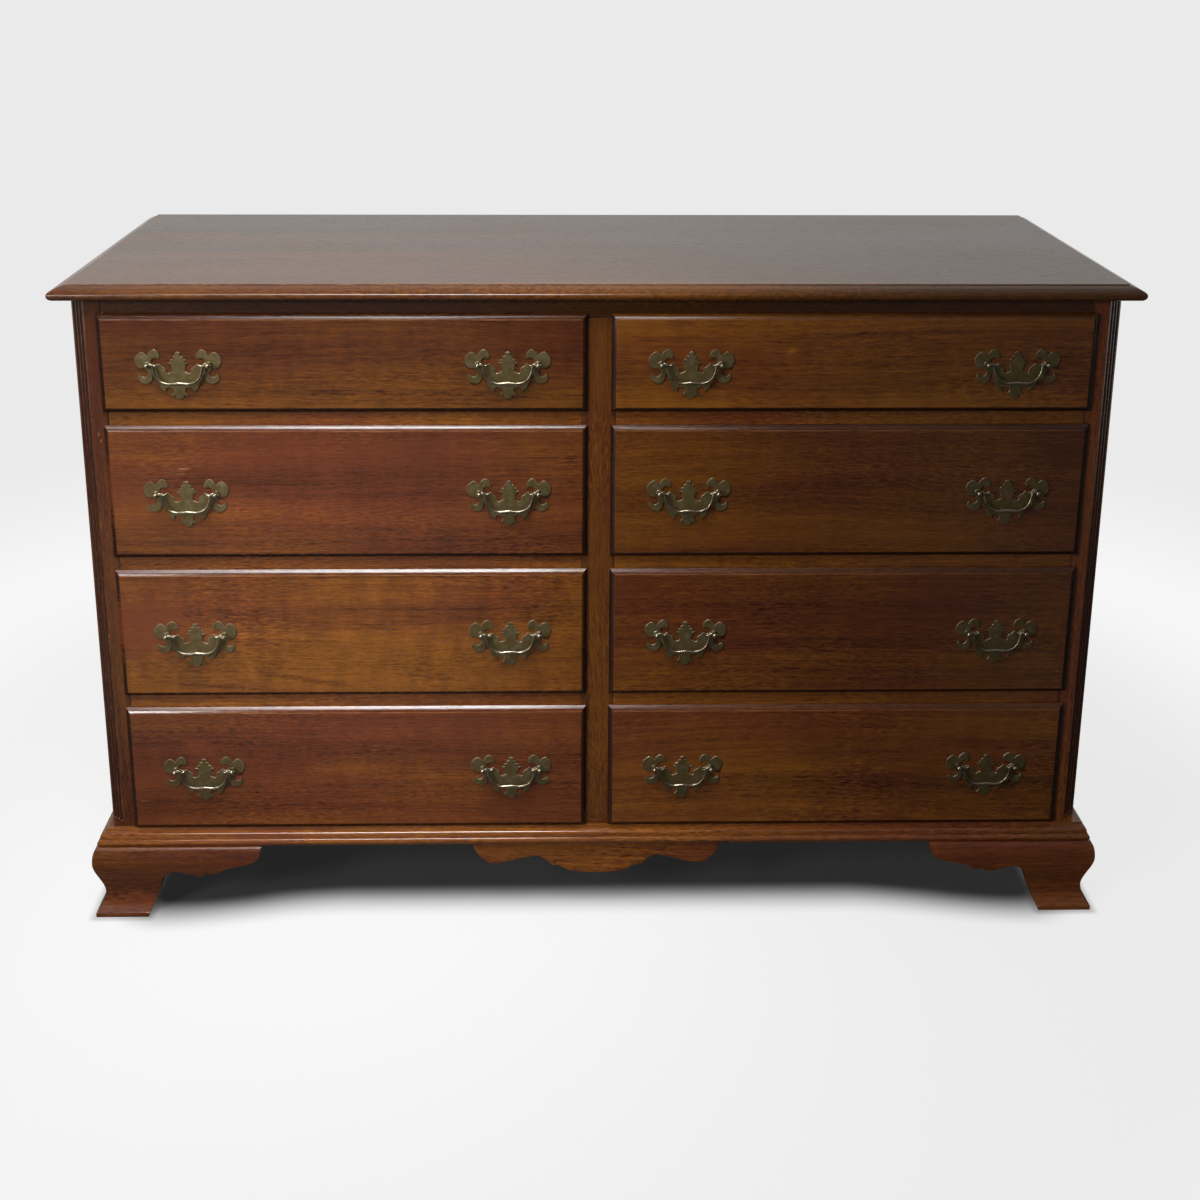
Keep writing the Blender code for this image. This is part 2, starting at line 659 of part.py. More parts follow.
def make_bail(tag, place, parts):
    """A bent wire whose turned-out ends sit in the posts."""
    curve = bpy.data.curves.new("bail_" + tag, "CURVE")
    curve.dimensions = "3D"
    curve.bevel_depth = BAIL_WIRE / 2
    curve.bevel_resolution = 1
    curve.use_fill_caps = True
    points = bail_points()
    spline = curve.splines.new("POLY")
    spline.points.add(len(points) - 1)
    for point, co in zip(spline.points, points):
        point.co = (*co, 1.0)
    bail = bpy.data.objects.new("bail_" + tag, curve)
    bail.location = (place.x, PIVOT_Y, place.z)
    parts.objects.link(bail)
    brass(bail)
    return bail


def make_drawer(tag, centre, row, parts, cutters):
    """A drawer with its box and both pulls, under an empty at its front."""
    bottom = ROW_BOTTOMS[row]
    height = ROW_HEIGHTS[row]
    slide = bpy.data.objects.new("slide_" + tag, None)
    slide.location = (centre, FACE_Y, bottom + height / 2)
    parts.objects.link(slide)
    pieces = [
        make_drawer_front(tag, centre, bottom, height, parts),
        make_drawer_box(tag, centre, bottom, height, parts, cutters),
    ]
    reach = OPENING_WIDTH / 2 - PULL_FROM_SIDE
    for letter, x in (("a", centre - reach), ("b", centre + reach)):
        place = Vector((x, PLATE_FRONT_Y, bottom + height / 2))
        pieces.append(make_backplate(tag + letter, place, parts, cutters))
        pieces.append(make_bail(tag + letter, place, parts))
    parent_to(slide, *pieces)


def main():
    clear_scene()
    parts = new_collection("double_dresser")
    cutters = new_collection("cutters")
    make_top(parts)
    make_face_frame(parts, cutters)
    for side in (-1, 1):
        make_side_panel(side, parts, cutters)
    make_partition(parts)
    make_back(parts)
    make_base_moulding(parts, cutters)
    for side in (-1, 1):
        for front in (True, False):
            make_foot(side, front, parts, cutters)
    make_drop(parts)
    for column, centre in (("left", -OPENING_CENTRE), ("right", OPENING_CENTRE)):
        for row in range(ROW_COUNT):
            make_drawer(f"{column}_{ROW_COUNT - row}", centre, row, parts, cutters)


main()
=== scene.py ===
"""Double dresser: the finished wood, brass and stage around its solid frame.

Units are metres, +Z is up and the front faces -Y. Every place is worked out from
the frame's own boxes, and outlines are drawn in millimetres like a workshop drawing.
"""

import collections
import math

import bpy
import numpy as np
from mathutils import Matrix, Vector


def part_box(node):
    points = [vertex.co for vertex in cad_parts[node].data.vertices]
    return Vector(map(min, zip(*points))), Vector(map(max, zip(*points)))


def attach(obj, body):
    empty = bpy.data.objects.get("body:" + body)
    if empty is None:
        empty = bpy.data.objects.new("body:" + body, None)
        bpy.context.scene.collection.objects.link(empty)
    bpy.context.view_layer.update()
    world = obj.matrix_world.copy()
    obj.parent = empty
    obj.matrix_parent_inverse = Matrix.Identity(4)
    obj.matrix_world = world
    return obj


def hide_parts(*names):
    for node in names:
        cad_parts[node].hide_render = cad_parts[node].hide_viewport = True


bl_info = {
    "name": "Double dresser looks",
    "version": (1, 0, 0),
    "blender": (4, 5, 0),
    "location": "View3D > Sidebar > Dresser",
    "description": "Makes the wood, brass and stage of a double dresser around its frame",
    "category": "Object",
}

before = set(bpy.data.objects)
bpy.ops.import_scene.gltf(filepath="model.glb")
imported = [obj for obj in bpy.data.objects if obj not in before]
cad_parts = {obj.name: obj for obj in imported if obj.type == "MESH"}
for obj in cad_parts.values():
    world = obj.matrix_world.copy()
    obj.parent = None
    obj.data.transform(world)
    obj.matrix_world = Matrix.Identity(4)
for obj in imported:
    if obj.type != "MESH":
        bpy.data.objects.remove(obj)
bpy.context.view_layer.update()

MM = 0.001
COLUMNS = ("left", "right")
ROWS = (1, 2, 3, 4)
SIDES = ((-1, "left"), (1, "right"))

# Places read from the frame
TOP_LOW, TOP_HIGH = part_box("top_board")
FRAME_LOW, FRAME_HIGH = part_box("face_frame")
FOOT_LOW, FOOT_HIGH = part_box("front_right_foot")
DROP_LOW, DROP_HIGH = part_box("centre_drop")
CASE_HALF, FRAME_BACK_Y, CASE_TOP = FRAME_HIGH
FACE_Y = FRAME_LOW.y
CASE_BOTTOM = FRAME_LOW.z
MOULD_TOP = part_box("base_moulding")[1].z
BACK_Y = TOP_HIGH.y

# Sizes that the solids share with the finished pieces
JOINT = 0.0001
GAP = 3 * JOINT
LIP_OVER = 0.00635
LIP_EDGE = 0.003
TENON_PAST_LIP = 0.00735
CANT = 0.020
PLATE_THICK = 0.0016
PLATE_BELOW_POST = 0.0452
POST_APART = 0.0762
PIVOT_PROUD = 0.0052
SIDE_THICK = 0.018
PARTITION_THICK = 0.019
RUNNER_THICK = 0.018
RUNNER_REACH = 0.014
GUIDE_HEIGHT = 0.016
BACK_RABBET = 0.008
BOX_WALL = 0.012
BOX_BOTTOM = 0.006
BOX_BOTTOM_RAISE = 0.010
FOOT_WALL = 0.014
FOOT_BLOCK = 0.030
FOOT_LEG_WIDTH = 0.0715
FOOT_HEIGHT = FOOT_HIGH.z - GAP
PANEL_FRONT = FRAME_BACK_Y + GAP
PANEL_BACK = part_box("back_panel")[0].y - GAP

# The top's moulded edge: in from the nose, below the top; a third value of 1 marks a crisp corner
TOP_PROFILE = [
    (18.9, 0.0, 1), (18.5, 1.1, 1), (14.2, 2.4), (9.4, 4.0), (5.4, 6.0), (2.9, 7.4, 1), (0.8, 9.4),
    (0.0, 12.2), (0.9, 15.4), (3.6, 17.9), (7.5, 19.0, 1),
]

# The base moulding: how far it stands out, height above its underside
MOULD_PROFILE = [
    (4.5, 23.5, 1), (5.2, 18.5, 1), (6.5, 17.9, 1), (9.2, 16.8), (10.8, 14.6), (11.4, 11.0),
    (11.6, 9.0, 1), (13.2, 8.2), (14.9, 5.0), (14.3, 2.4), (13.0, 0.0, 1),
]

# The foot's face: how far it stands out, height from the floor
FOOT_PROFILE = [
    (20.9, 0.0, 1), (21.99, 1.0), (21.99, 6.0), (21.3, 7.0, 1), (19.4, 8.6), (14.8, 15.0),
    (11.6, 23.0), (9.9, 31.0), (9.7, 36.0), (11.2, 44.0), (15.4, 57.0), (19.6, 69.0), (21.8, 79.0),
    (21.7, 88.0), (20.5, 95.5), (18.6, 100.8), (15.6, 104.2, 1),
]

# The bracket's lower edge: past the leg's inner corner, height from the floor
BRACKET_EDGE = [
    (0.0, 0.0, 1), (7.4, 17.0), (14.0, 33.0), (18.4, 44.6), (21.5, 55.5), (29.5, 64.5),
    (43.0, 68.5), (56.0, 64.0), (73.5, 57.8, 1), (83.0, 65.2, 1), (89.0, 62.6), (96.0, 63.2, 1),
    (105.0, 70.5), (116.0, 75.0), (131.0, 77.6), (145.0, 82.2), (154.0, 89.5), (158.5, 104.2, 1),
]

# Half of the drop's lower edge: from the middle, below its top
DROP_EDGE = [
    (171.0, 0.0, 1), (165.0, 16.0), (153.9, 28.5), (140.6, 33.3), (119.7, 30.0), (95.8, 24.0),
    (82.1, 22.2), (72.7, 26.0), (59.0, 37.8, 1), (53.9, 36.2, 1), (34.2, 45.5), (0.0, 49.2),
]

# Half of the backplate: from the middle, above the line between the posts
PLATE_EDGE = [
    (0.0, 16.7), (2.4, 16.0), (3.4, 14.3), (2.8, 12.7), (1.4, 11.6, 1), (4.2, 11.6), (6.2, 10.6),
    (6.6, 8.8), (4.4, 6.9, 1), (7.6, 7.2), (9.6, 6.2), (9.8, 4.4), (7.4, 2.7, 1), (12.9, 2.8, 1),
    (10.8, 0.6), (8.7, -1.8), (8.7, -5.2), (7.2, -8.2, 1), (9.0, -9.6), (13.0, -11.3),
    (15.4, -10.3), (15.6, -5.3, 1), (17.7, -3.5), (20.8, -1.6), (23.4, 1.6, 1), (26.0, 0.4),
    (28.8, -0.6), (33.1, 2.0), (33.3, 6.1), (28.6, 8.9), (24.3, 7.0, 1), (22.6, 11.1), (25.5, 17.1),
    (30.7, 19.6), (36.0, 15.7), (38.3, 11.1, 1), (41.8, 14.6), (46.2, 16.3), (52.4, 11.2),
    (54.3, 5.2), (51.7, -2.5), (46.0, -5.3), (42.6, -4.6), (39.5, -8.0), (38.4, -11.5),
    (40.4, -14.9), (43.5, -16.1), (47.1, -14.4), (49.3, -11.4, 1), (51.0, -16.3), (49.4, -21.3),
    (45.0, -24.2), (38.8, -24.8), (34.0, -21.2), (32.6, -16.0), (32.4, -12.0, 1), (30.2, -14.5),
    (28.4, -20.0), (25.2, -27.0), (23.2, -31.9, 1), (17.4, -36.3, 1), (16.6, -31.4), (13.6, -29.8),
    (8.0, -31.4), (7.6, -35.6), (10.8, -38.9, 1), (9.0, -40.8), (5.8, -40.2), (4.2, -43.4),
    (0.0, -45.2),
]

# The bail from its pin to its middle: from the middle, above the pins, towards the room
BAIL_PATH = [
    (41.7, 0.0, 0.0), (38.1, 0.0, 0.0), (34.6, 0.3, 0.0), (32.2, -0.4, 0.0), (31.0, -2.4, 0.1),
    (30.6, -5.0, 0.4), (29.6, -9.3, 0.9), (26.8, -15.4, 1.5), (21.4, -20.6, 2.0), (13.5, -23.2, 2.2),
    (6.5, -23.0, 2.2), (0.0, -22.4, 2.2),
]

# The curl on the bail's shoulder, from the post inwards, and its thickness at each point
SPUR_PATH = [
    (36.0, 2.6, 0.6), (34.0, 2.3, 1.0), (31.6, 1.0, 1.35), (29.2, -0.2, 1.3), (27.0, 0.2, 1.0),
    (24.7, 2.2, 0.6),
]

# The post and its ball head: radius, distance from the plate
POST_PROFILE = [
    (4.4, -0.4, 1), (4.4, 0.5), (4.0, 1.0), (3.2, 1.4, 1), (2.75, 2.4), (2.8, 4.2), (3.05, 5.0),
    (2.7, 5.9), (2.5, 6.3, 1), (3.1, 6.9), (3.4, 7.9), (3.15, 9.2), (2.3, 10.3), (1.2, 10.9),
    (0.05, 11.1, 1),
]

Timber = collections.namedtuple("Timber", "axes shift light warmth ribbon")
Opening = collections.namedtuple("Opening", "left right bottom top")

# Which of X, Y and Z runs along, across and through a board's grain
ALONG_X = (0, 2, 1)
ALONG_Y = (1, 2, 0)
ALONG_Z = (2, 0, 1)
FLAT_X = (0, 1, 2)

# How far on in the log each numbered board was sawn
LOG_STEP = np.array((1.37, 0.731, 0.213))


def timber(axes, number, light=1.0, warmth=0.5, ribbon=0.3):
    """A board's cut: its axes, its stretch of log, and how light, golden and figured it is."""
    return Timber(axes, LOG_STEP * number, light, warmth, ribbon)


UNCUT = timber(ALONG_X, 0)


def opening(column, row):
    """The drawer opening behind a front, whose lip covers its edge all round."""
    low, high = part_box(f"drawer_front_{column}_{row}")
    return Opening(low.x + LIP_OVER, high.x - LIP_OVER, low.z + LIP_OVER, high.z - LIP_OVER)


OPENINGS = {(column, row): opening(column, row) for column in COLUMNS for row in ROWS}


def length(name, description, default, low, high):
    return bpy.props.FloatProperty(
        name=name, description=description, default=default, min=low, max=high, unit="LENGTH")


def colour(name, description, *default):
    return bpy.props.FloatVectorProperty(
        name=name, description=description, default=default, size=3, min=0.0, max=1.0, subtype="COLOR")


def strength(name, description, default, **limits):
    return bpy.props.FloatProperty(name=name, description=description, default=default, min=0.0, **limits)


class DresserShape(bpy.types.PropertyGroup):
    edge_ease: length("Eased edge", "Radius that sanding leaves on a board's edges", 0.0008, 0.0001, 0.004)
    lip_step: length("Lip step", "Small step between a drawer's face and its rounded lip", 0.0007, 0.0, 0.002)
    flute_radius: length("Flute radius", "Radius of the cutter that made the flutes", 0.0030, 0.001, 0.004)
    flute_pitch: length("Flute pitch", "Distance between the flutes' middle lines", 0.0078, 0.006, 0.010)
    flute_proud: length("Flute centre", "How far the cutter's centre lay off the cant", 0.0008, 0.0, 0.002)
    flute_stop: length("Flute stop", "Height above the base moulding where the flutes end", 0.004, 0.0, 0.05)
    plate_bevel: length("Plate bevel", "Width of the bevel round a backplate", 0.0005, 0.0001, 0.001)
    bail_thick: length("Bail thickness", "Diameter of a bail at its ends", 0.0035, 0.002, 0.005)
    grip_thick: length("Grip thickness", "Diameter of a bail at the middle of its grip", 0.0048, 0.002, 0.006)


class DresserFinish(bpy.types.PropertyGroup):
    red: colour("Red wood", "Mahogany's red-brown ground", 0.112, 0.0270, 0.0090)
    gold: colour("Golden wood", "Mahogany where it runs golden", 0.165, 0.0560, 0.0065)
    # Dark grain, at 0.6 times, is also the colour that heavy stain and painted shade darken the wood towards.
    dark: colour("Dark grain", "Pores and dark streaks", 0.022, 0.0060, 0.0030)
    worn: colour("Worn edge", "Bare wood where the finish has rubbed off", 0.27, 0.110, 0.036)
    oak: colour("Drawer wood", "Pale wood of drawer boxes and runners", 0.42, 0.26, 0.13)
    oak_dark: colour("Drawer wood grain", "Darker grain of the pale wood", 0.24, 0.135, 0.062)
    brass: colour("Brass", "Brass where hands keep it bright", 0.40, 0.345, 0.245)
    patina: colour("Patina", "Olive-brown tarnish on the brass", 0.172, 0.124, 0.047)
    lacquer: strength("Lacquer roughness", "Roughness of the satin lacquer", 0.22, max=1.0, subtype="FACTOR")


class DresserStage(bpy.types.PropertyGroup):
    backdrop: colour("Backdrop", "Pale grey behind the dresser", 0.823, 0.823, 0.823)
    floor: colour("Floor", "Pale floor near the dresser", 0.86, 0.86, 0.86)
    key: strength("Key light", "Power of the softbox above the left front", 2.5, unit="POWER")
    strip: strength("Strip light", "Power of the softbox beside the key light", 1.0, unit="POWER")
    pool: strength("Pool light", "Power of the lamp whose pool lies on the left drawers", 0.15, unit="POWER")
    side: strength("Side light", "Power of the softbox at the far left front", 16.0, unit="POWER")
    ambient: strength("Room", "Strength of the light from the room in front", 0.05)
    screen: strength("Screen", "Strength of the light from behind the dresser", 0.62)
    sides: strength("Sides", "Strength of the light from beside the dresser", 0.75)


# Curves and outlines


def smooth(points, steps):
    """A curve through the points. Between two of them it is the cubic whose slope at each point
    is half the step between that point's two neighbours."""
    points = np.asarray(points, float)
    ends = 2 * points[[0, -1]] - points[[1, -2]]
    padded = np.concatenate([ends[:1], points, ends[1:]])
    a, b, c, d = (padded[k:len(padded) - 3 + k][:, None] for k in range(4))
    t = np.linspace(0.0, 1.0, steps, endpoint=False)[None, :, None]
    cubic = 2 * b + (c - a) * t + (2 * a - 5 * b + 4 * c - d) * t ** 2 + (3 * b - a - 3 * c + d) * t ** 3
    return np.concatenate([0.5 * cubic.reshape(-1, points.shape[1]), points[-1:]])


def evenly(curve, spacing):
    """The same curve with points at even distances along it, about spacing apart."""
    travelled = np.append(0.0, np.cumsum(np.linalg.norm(np.diff(curve, axis=0), axis=1)))
    places = np.linspace(0.0, travelled[-1], max(int(round(travelled[-1] / spacing)), 1) + 1)
    return np.stack([np.interp(places, travelled, values) for values in curve.T], axis=1)


def drawn(outline, spacing):
    """A drawn outline in metres: smooth between its crisp corners, with points spacing apart.

    Each drawn point is two numbers in millimetres and a 1 where the corner is crisp. The curve
    stays inside the box that the drawn points fill.
    """
    points = np.array([point[:2] for point in outline]) * MM
    crisp = [k for k, point in enumerate(outline) if len(point) > 2]
    breaks = np.unique([0, *crisp, len(points) - 1])
    runs = [evenly(smooth(points[a:b + 1], 12), spacing) for a, b in zip(breaks, breaks[1:])]
    curve = np.concatenate([run[:-1] for run in runs] + [runs[-1][-1:]])
    return np.clip(curve, points.min(axis=0), points.max(axis=0))


def mirrored(half):
    """An open outline or path, made whole by its mirror image in X. It ends in the middle."""
    return np.concatenate([half, half[-2::-1] * np.where(np.arange(half.shape[1]), 1, -1)])


def moved_in(outline, distance):
    """The closed outline moved inwards: each point moves along the mean of its two edges' normals,
    by the distance over the cosine of half their turn, and at most twice the distance. In a thin
    tip the distance is at most 0.4 of the width, which is measured to points that face this one."""
    ahead = np.roll(outline, -1, axis=0) - outline
    ahead /= np.linalg.norm(ahead, axis=1, keepdims=True)
    normal = np.stack([-ahead[:, 1], ahead[:, 0]], axis=1)
    mean = normal + np.roll(normal, 1, axis=0)
    mean /= np.linalg.norm(mean, axis=1, keepdims=True)
    cosine = np.maximum(np.sum(mean * normal, axis=1), 0.5)
    x, y = outline.T
    area = np.sum(x * np.roll(y, -1) - np.roll(x, -1) * y)
    apart = np.linalg.norm(outline[:, None] - outline[None], axis=-1)
    width = np.where(mean @ mean.T < -0.1, apart, np.inf).min(axis=1)
    depth = np.minimum(distance, 0.4 * width)
    depth = np.minimum(depth, np.minimum(np.roll(depth, 1), np.roll(depth, -1)))
    return outline + mean * (math.copysign(1.0, area) * depth / cosine)[:, None]


def circle(sides):
    """The cosines and sines of even steps round a circle."""
    t = np.linspace(0.0, 2 * math.pi, sides, endpoint=False)
    return np.cos(t), np.sin(t)


def quarter(steps):
    """The cosines and sines of even steps through a quarter turn."""
    t = np.linspace(0.0, math.pi / 2, steps)
    return np.cos(t), np.sin(t)


# Skins: closed surfaces worked out as whole arrays


def ring_faces(rows, columns):
    """The numbers of points that stand in rings, and the four-sided faces from ring to ring."""
    index = np.arange(rows * columns).reshape(rows, columns)
    after = np.roll(index, -1, axis=1)
    return index, np.stack([index[:-1], after[:-1], after[1:], index[1:]], axis=-1).reshape(-1, 4)


class Skin:
    """Rings of points joined into one closed surface, with values kept at each point.

    rings holds rows of points that go once round the shape. Each row is joined to the next by
    four-sided faces, and the first and last rows are closed by one face each. wear is 1 where
    hands and dusters rub the finish thin, 0 elsewhere and below 0 where the colour is darkened:
    by heavy stain, and by painted shade in gaps, in hollows and on faces turned from the light.
    """

    def __init__(self, rings, cut=UNCUT, wear=0.0):
        rings = np.asarray(rings, float)
        index, self.quads = ring_faces(*rings.shape[:2])
        self.caps = [index[0][::-1], index[-1]]
        self.points = rings.reshape(-1, 3)
        self.wear = np.broadcast_to(wear, index.shape).reshape(-1)
        self.grain = self.points[:, list(cut.axes)] + cut.shift
        self.stain = np.tile((cut.light, cut.warmth, cut.ribbon), (len(self.points), 1))
        if self.volume() < 0.0:
            self.quads = self.quads[:, ::-1]
            self.caps = [cap[::-1] for cap in self.caps]

    def volume(self):
        """Signed volume: the sum of the triangles' scalar triple products, over six."""
        a, b, c, d = (self.points[self.quads[:, k]] for k in range(4))
        total = np.sum(a * np.cross(b, c)) + np.sum(a * np.cross(c, d))
        for ring in (self.points[cap] for cap in self.caps):
            total += np.sum(ring[0] * np.cross(ring[1:-1], ring[2:]))
        return total / 6.0


def make_mesh(name, skins, angle):
    """One mesh from several skins, with grain, stain and wear kept as attributes; wear also carries painted
    shade.
    """
    starts = np.cumsum([0] + [len(skin.points) for skin in skins])
    quads = np.concatenate([skin.quads + start for skin, start in zip(skins, starts)])
    caps = [cap + start for skin, start in zip(skins, starts) for cap in skin.caps]
    corners = np.concatenate([quads.reshape(-1), *caps])
    sizes = np.array([4] * len(quads) + [len(cap) for cap in caps])
    mesh = bpy.data.meshes.new(name)
    mesh.vertices.add(starts[-1])
    mesh.vertices.foreach_set("co", np.concatenate([skin.points for skin in skins]).reshape(-1))
    mesh.loops.add(len(corners))
    mesh.loops.foreach_set("vertex_index", corners.astype(np.int32))
    mesh.polygons.add(len(sizes))
    mesh.polygons.foreach_set("loop_start", (np.cumsum(sizes) - sizes).astype(np.int32))
    mesh.update(calc_edges=True)
    mesh.polygons.foreach_set("use_smooth", np.arange(len(sizes)) < len(quads))
    mesh.set_sharp_from_angle(angle=math.radians(angle))
    for label, kind, field in (
        ("grain", "FLOAT_VECTOR", "vector"), ("stain", "FLOAT_VECTOR", "vector"), ("wear", "FLOAT", "value"),
    ):
        values = np.concatenate([getattr(skin, label) for skin in skins])
        mesh.attributes.new(label, kind, "POINT").data.foreach_set(field, values.reshape(-1))
    return mesh


def make_piece(name, skins, finish, node, body="case", angle=32.0):
    """A finished piece that rides on a body and stands for the solid of that node."""
    slot, make_finish = FINISHES[finish]
    piece = bpy.data.objects.new(name, make_mesh(name, skins, angle))
    piece.data.materials.append(bpy.data.materials.get(finish) or make_finish(finish))
    bpy.context.scene.collection.objects.link(piece)
    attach(piece, body)
    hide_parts(node)


# How far the straight part beside an eased edge keeps its own row of points
EASE_REACH = 0.003
EASE_STEPS = 3


def corner_ring(half_u, half_v, radius):
    """Points round a rectangle with rounded corners, and 1 for those on a corner.

    A corner is a quarter circle about the point that lies radius in from both sides, with a
    point on the straight side before it and another after it.
    """
    inner = np.array((half_u, half_v)) - radius
    last_u, first_v = inner - np.minimum(EASE_REACH, inner / 2)
    arc = inner + radius * np.stack(quarter(EASE_STEPS), axis=1)
    corner = np.concatenate([[(half_u, first_v)], arc, [(last_u, half_v)]])
    mirror = corner[::-1] * (-1, 1)
    return np.concatenate([corner, mirror, -corner, -mirror]), np.tile(np.pad(np.ones(EASE_STEPS), 1), 4)


def board(corner, opposite, cut, ease, worn=1.0):
    """A sawn board between two opposite corners, with every edge eased.

    Its section is a rounded rectangle carried along the grain. Close to an end, the section
    shrinks by ease times one minus a sine while it moves in by ease times one minus a cosine.
    """
    middle = np.add(corner, opposite) / 2
    half = np.abs(np.subtract(corner, opposite)) / 2
    along, across, through = cut.axes
    cosine, sine = quarter(EASE_STEPS)
    near = np.append(ease * (1 - cosine), ease + min(EASE_REACH, half[along] / 2))
    inset = np.append(ease * (1 - sine), 0.0)
    at_end = np.append(np.ones(EASE_STEPS), 0.0)
    rings = []
    wear = []
    for shrink, end in zip(inset, at_end):
        ring, on_corner = corner_ring(half[across] - shrink, half[through] - shrink, ease * 1.05 - shrink)
        rings.append(ring)
        wear.append(np.maximum(on_corner, end))
    rings = np.array(rings + rings[::-1])
    places = np.concatenate([near - half[along], (half[along] - near)[::-1]])
    points = np.empty(rings.shape[:2] + (3,))
    points[..., along] = middle[along] + places[:, None]
    points[..., [across, through]] = middle[[across, through]] + rings
    return Skin(points, cut, np.array(wear + wear[::-1]) * worn)


def slab(outline, levels, cut=UNCUT, worn=1.0):
    """A flat piece that faces the front: its outline in X and Z, moved inwards by each level's
    inset, at that level's depth in Y. levels holds (inset, depth, wear)."""
    rings = []
    for inset, depth, _ in levels:
        x, z = (moved_in(outline, inset) if inset else outline).T
        rings.append(np.stack([x, np.full(len(x), depth), z], axis=-1))
    return Skin(rings, cut, np.array(levels)[:, 2:] * worn)


def tube(path, radii, sides, wear):
    """A round bar: circles about the path, square to it, of the given radii.

    Each circle lies on two directions: the one square to both the path and Y, and the one
    square to that and the path. The circle's point at angle t is centre plus radius times the
    first direction times cos t plus the second times sin t.
    """
    tangent = np.gradient(path, axis=0)
    tangent /= np.linalg.norm(tangent, axis=1, keepdims=True)
    first = np.cross(tangent, (0.0, 1.0, 0.0))
    first /= np.linalg.norm(first, axis=1, keepdims=True)
    second = np.cross(tangent, first)
    cosine, sine = circle(sides)
    ring = first[:, None] * cosine[:, None] + second[:, None] * sine[:, None]
    return Skin(path[:, None] + ring * radii[:, None, None], wear=wear)


def turned(profile, centre, sides, wear):
    """A turned piece about a line along -Y: a circle for each (radius, distance out) of its profile."""
    radius, out = profile.T[..., None]
    cosine, sine = circle(sides)
    ring = np.stack([radius * cosine, np.broadcast_to(-out, (len(out), sides)), radius * sine], axis=-1)
    return Skin(centre + ring, wear=wear)


# Shader nodes


class Wire:
    """A node's output. A sum, difference or product with it is a Math node."""

    def __init__(self, nodes, socket):
        self.nodes = nodes
        self.socket = socket

    def __add__(self, other):
        return self.nodes.math("ADD", self, other)

    def __sub__(self, other):
        return self.nodes.math("SUBTRACT", self, other)

    def __rsub__(self, other):
        return self.nodes.math("SUBTRACT", other, self)

    def __mul__(self, other):
        return self.nodes.math("MULTIPLY", self, other)


class Nodes:
    """Adds nodes to one tree. An input may be a number, a colour or a wire."""

    def __init__(self, tree):
        self.tree = tree

    def fill(self, node, inputs):
        for key, value in inputs.items() if isinstance(inputs, dict) else enumerate(inputs):
            if isinstance(value, Wire):
                self.tree.links.new(value.socket, node.inputs[key])
            else:
                node.inputs[key].default_value = value

    def add(self, kind, inputs=(), output=0, **settings):
        """The new node's output, or a list of wires where output is a tuple."""
        node = self.tree.nodes.new(kind)
        for name, value in settings.items():
            setattr(node, name, value)
        self.fill(node, inputs)
        if isinstance(output, tuple):
            return [Wire(self, node.outputs[key]) for key in output]
        return Wire(self, node.outputs[output])

    def math(self, operation, *values, clamp=False):
        return self.add("ShaderNodeMath", values, operation=operation, use_clamp=clamp)

    def vector(self, operation, *values, output=0):
        return self.add("ShaderNodeVectorMath", values, output, operation=operation)

    def separate(self, vector):
        return self.add("ShaderNodeSeparateXYZ", (vector,), (0, 1, 2))

    def position(self):
        return self.add("ShaderNodeTexCoord", output="Object")

    def attribute(self, name, output="Vector"):
        return self.add("ShaderNodeAttribute", output=output, attribute_name=name)

    def noise(self, vector, stretch, detail=2.0, roughness=0.5):
        """Cloudy noise that is stretched: its cells are one over stretch metres along each axis."""
        inputs = {"Vector": self.vector("MULTIPLY", vector, stretch), "Scale": 1.0, "Detail": detail,
                  "Roughness": roughness}
        return self.add("ShaderNodeTexNoise", inputs)

    def ramp(self, value, low, high):
        """0 below low, 1 above high and a smooth step between them."""
        return self.add("ShaderNodeMapRange", (value, low, high, 0.0, 1.0), interpolation_type="SMOOTHSTEP")

    def mix(self, factor, first, second):
        return self.add("ShaderNodeMix", {0: factor, 6: first, 7: second}, 2, data_type="RGBA")

    def scale(self, colour, factor):
        return self.add("ShaderNodeVectorMath", {0: colour, 3: factor}, operation="SCALE")

    def bump(self, height, distance):
        inputs = {"Height": height, "Distance": distance, "Strength": 1.0}
        return self.add("ShaderNodeBump", inputs, "Normal")


def swing(noise, amount):
    """How far a noise is from its middle, times amount."""
    return (noise - 0.5) * amount


def rgba(colour, strength=1.0):
    return tuple(channel * strength for channel in colour) + (1.0,)


def new_group(build, sockets):
    """A node group with the sockets' names by kind as its inputs and what build returns as its outputs."""
    tree = bpy.data.node_groups.new(build.__name__, "ShaderNodeTree")
    for kind, labels in sockets.items():
        for label in labels.split():
            tree.interface.new_socket(label, in_out="INPUT", socket_type=kind)
    nodes = Nodes(tree)
    result = build(nodes, *nodes.add("NodeGroupInput", output=tuple(" ".join(sockets.values()).split())))
    for label in result:
        kind = "NodeSocketColor" if label == "Color" else "NodeSocketFloat"
        tree.interface.new_socket(label, in_out="OUTPUT", socket_type=kind)
    nodes.fill(tree.nodes.new("NodeGroupOutput"), result)
    return tree


def node_group(**sockets):
    """Turns a function into one that puts a node group into a tree and returns its outputs by name.

    The group is built the first time. The function gets the group's Nodes and a wire for each input.
    """
    def wrap(build):
        def place(nodes, **inputs):
            tree = bpy.data.node_groups.get(build.__name__) or new_group(build, sockets)
            labels = tuple(item.name for item in tree.interface.items_tree if item.in_out == "OUTPUT")
            return dict(zip(labels, nodes.add("ShaderNodeGroup", inputs, labels, node_tree=tree)))
        return place
    return wrap


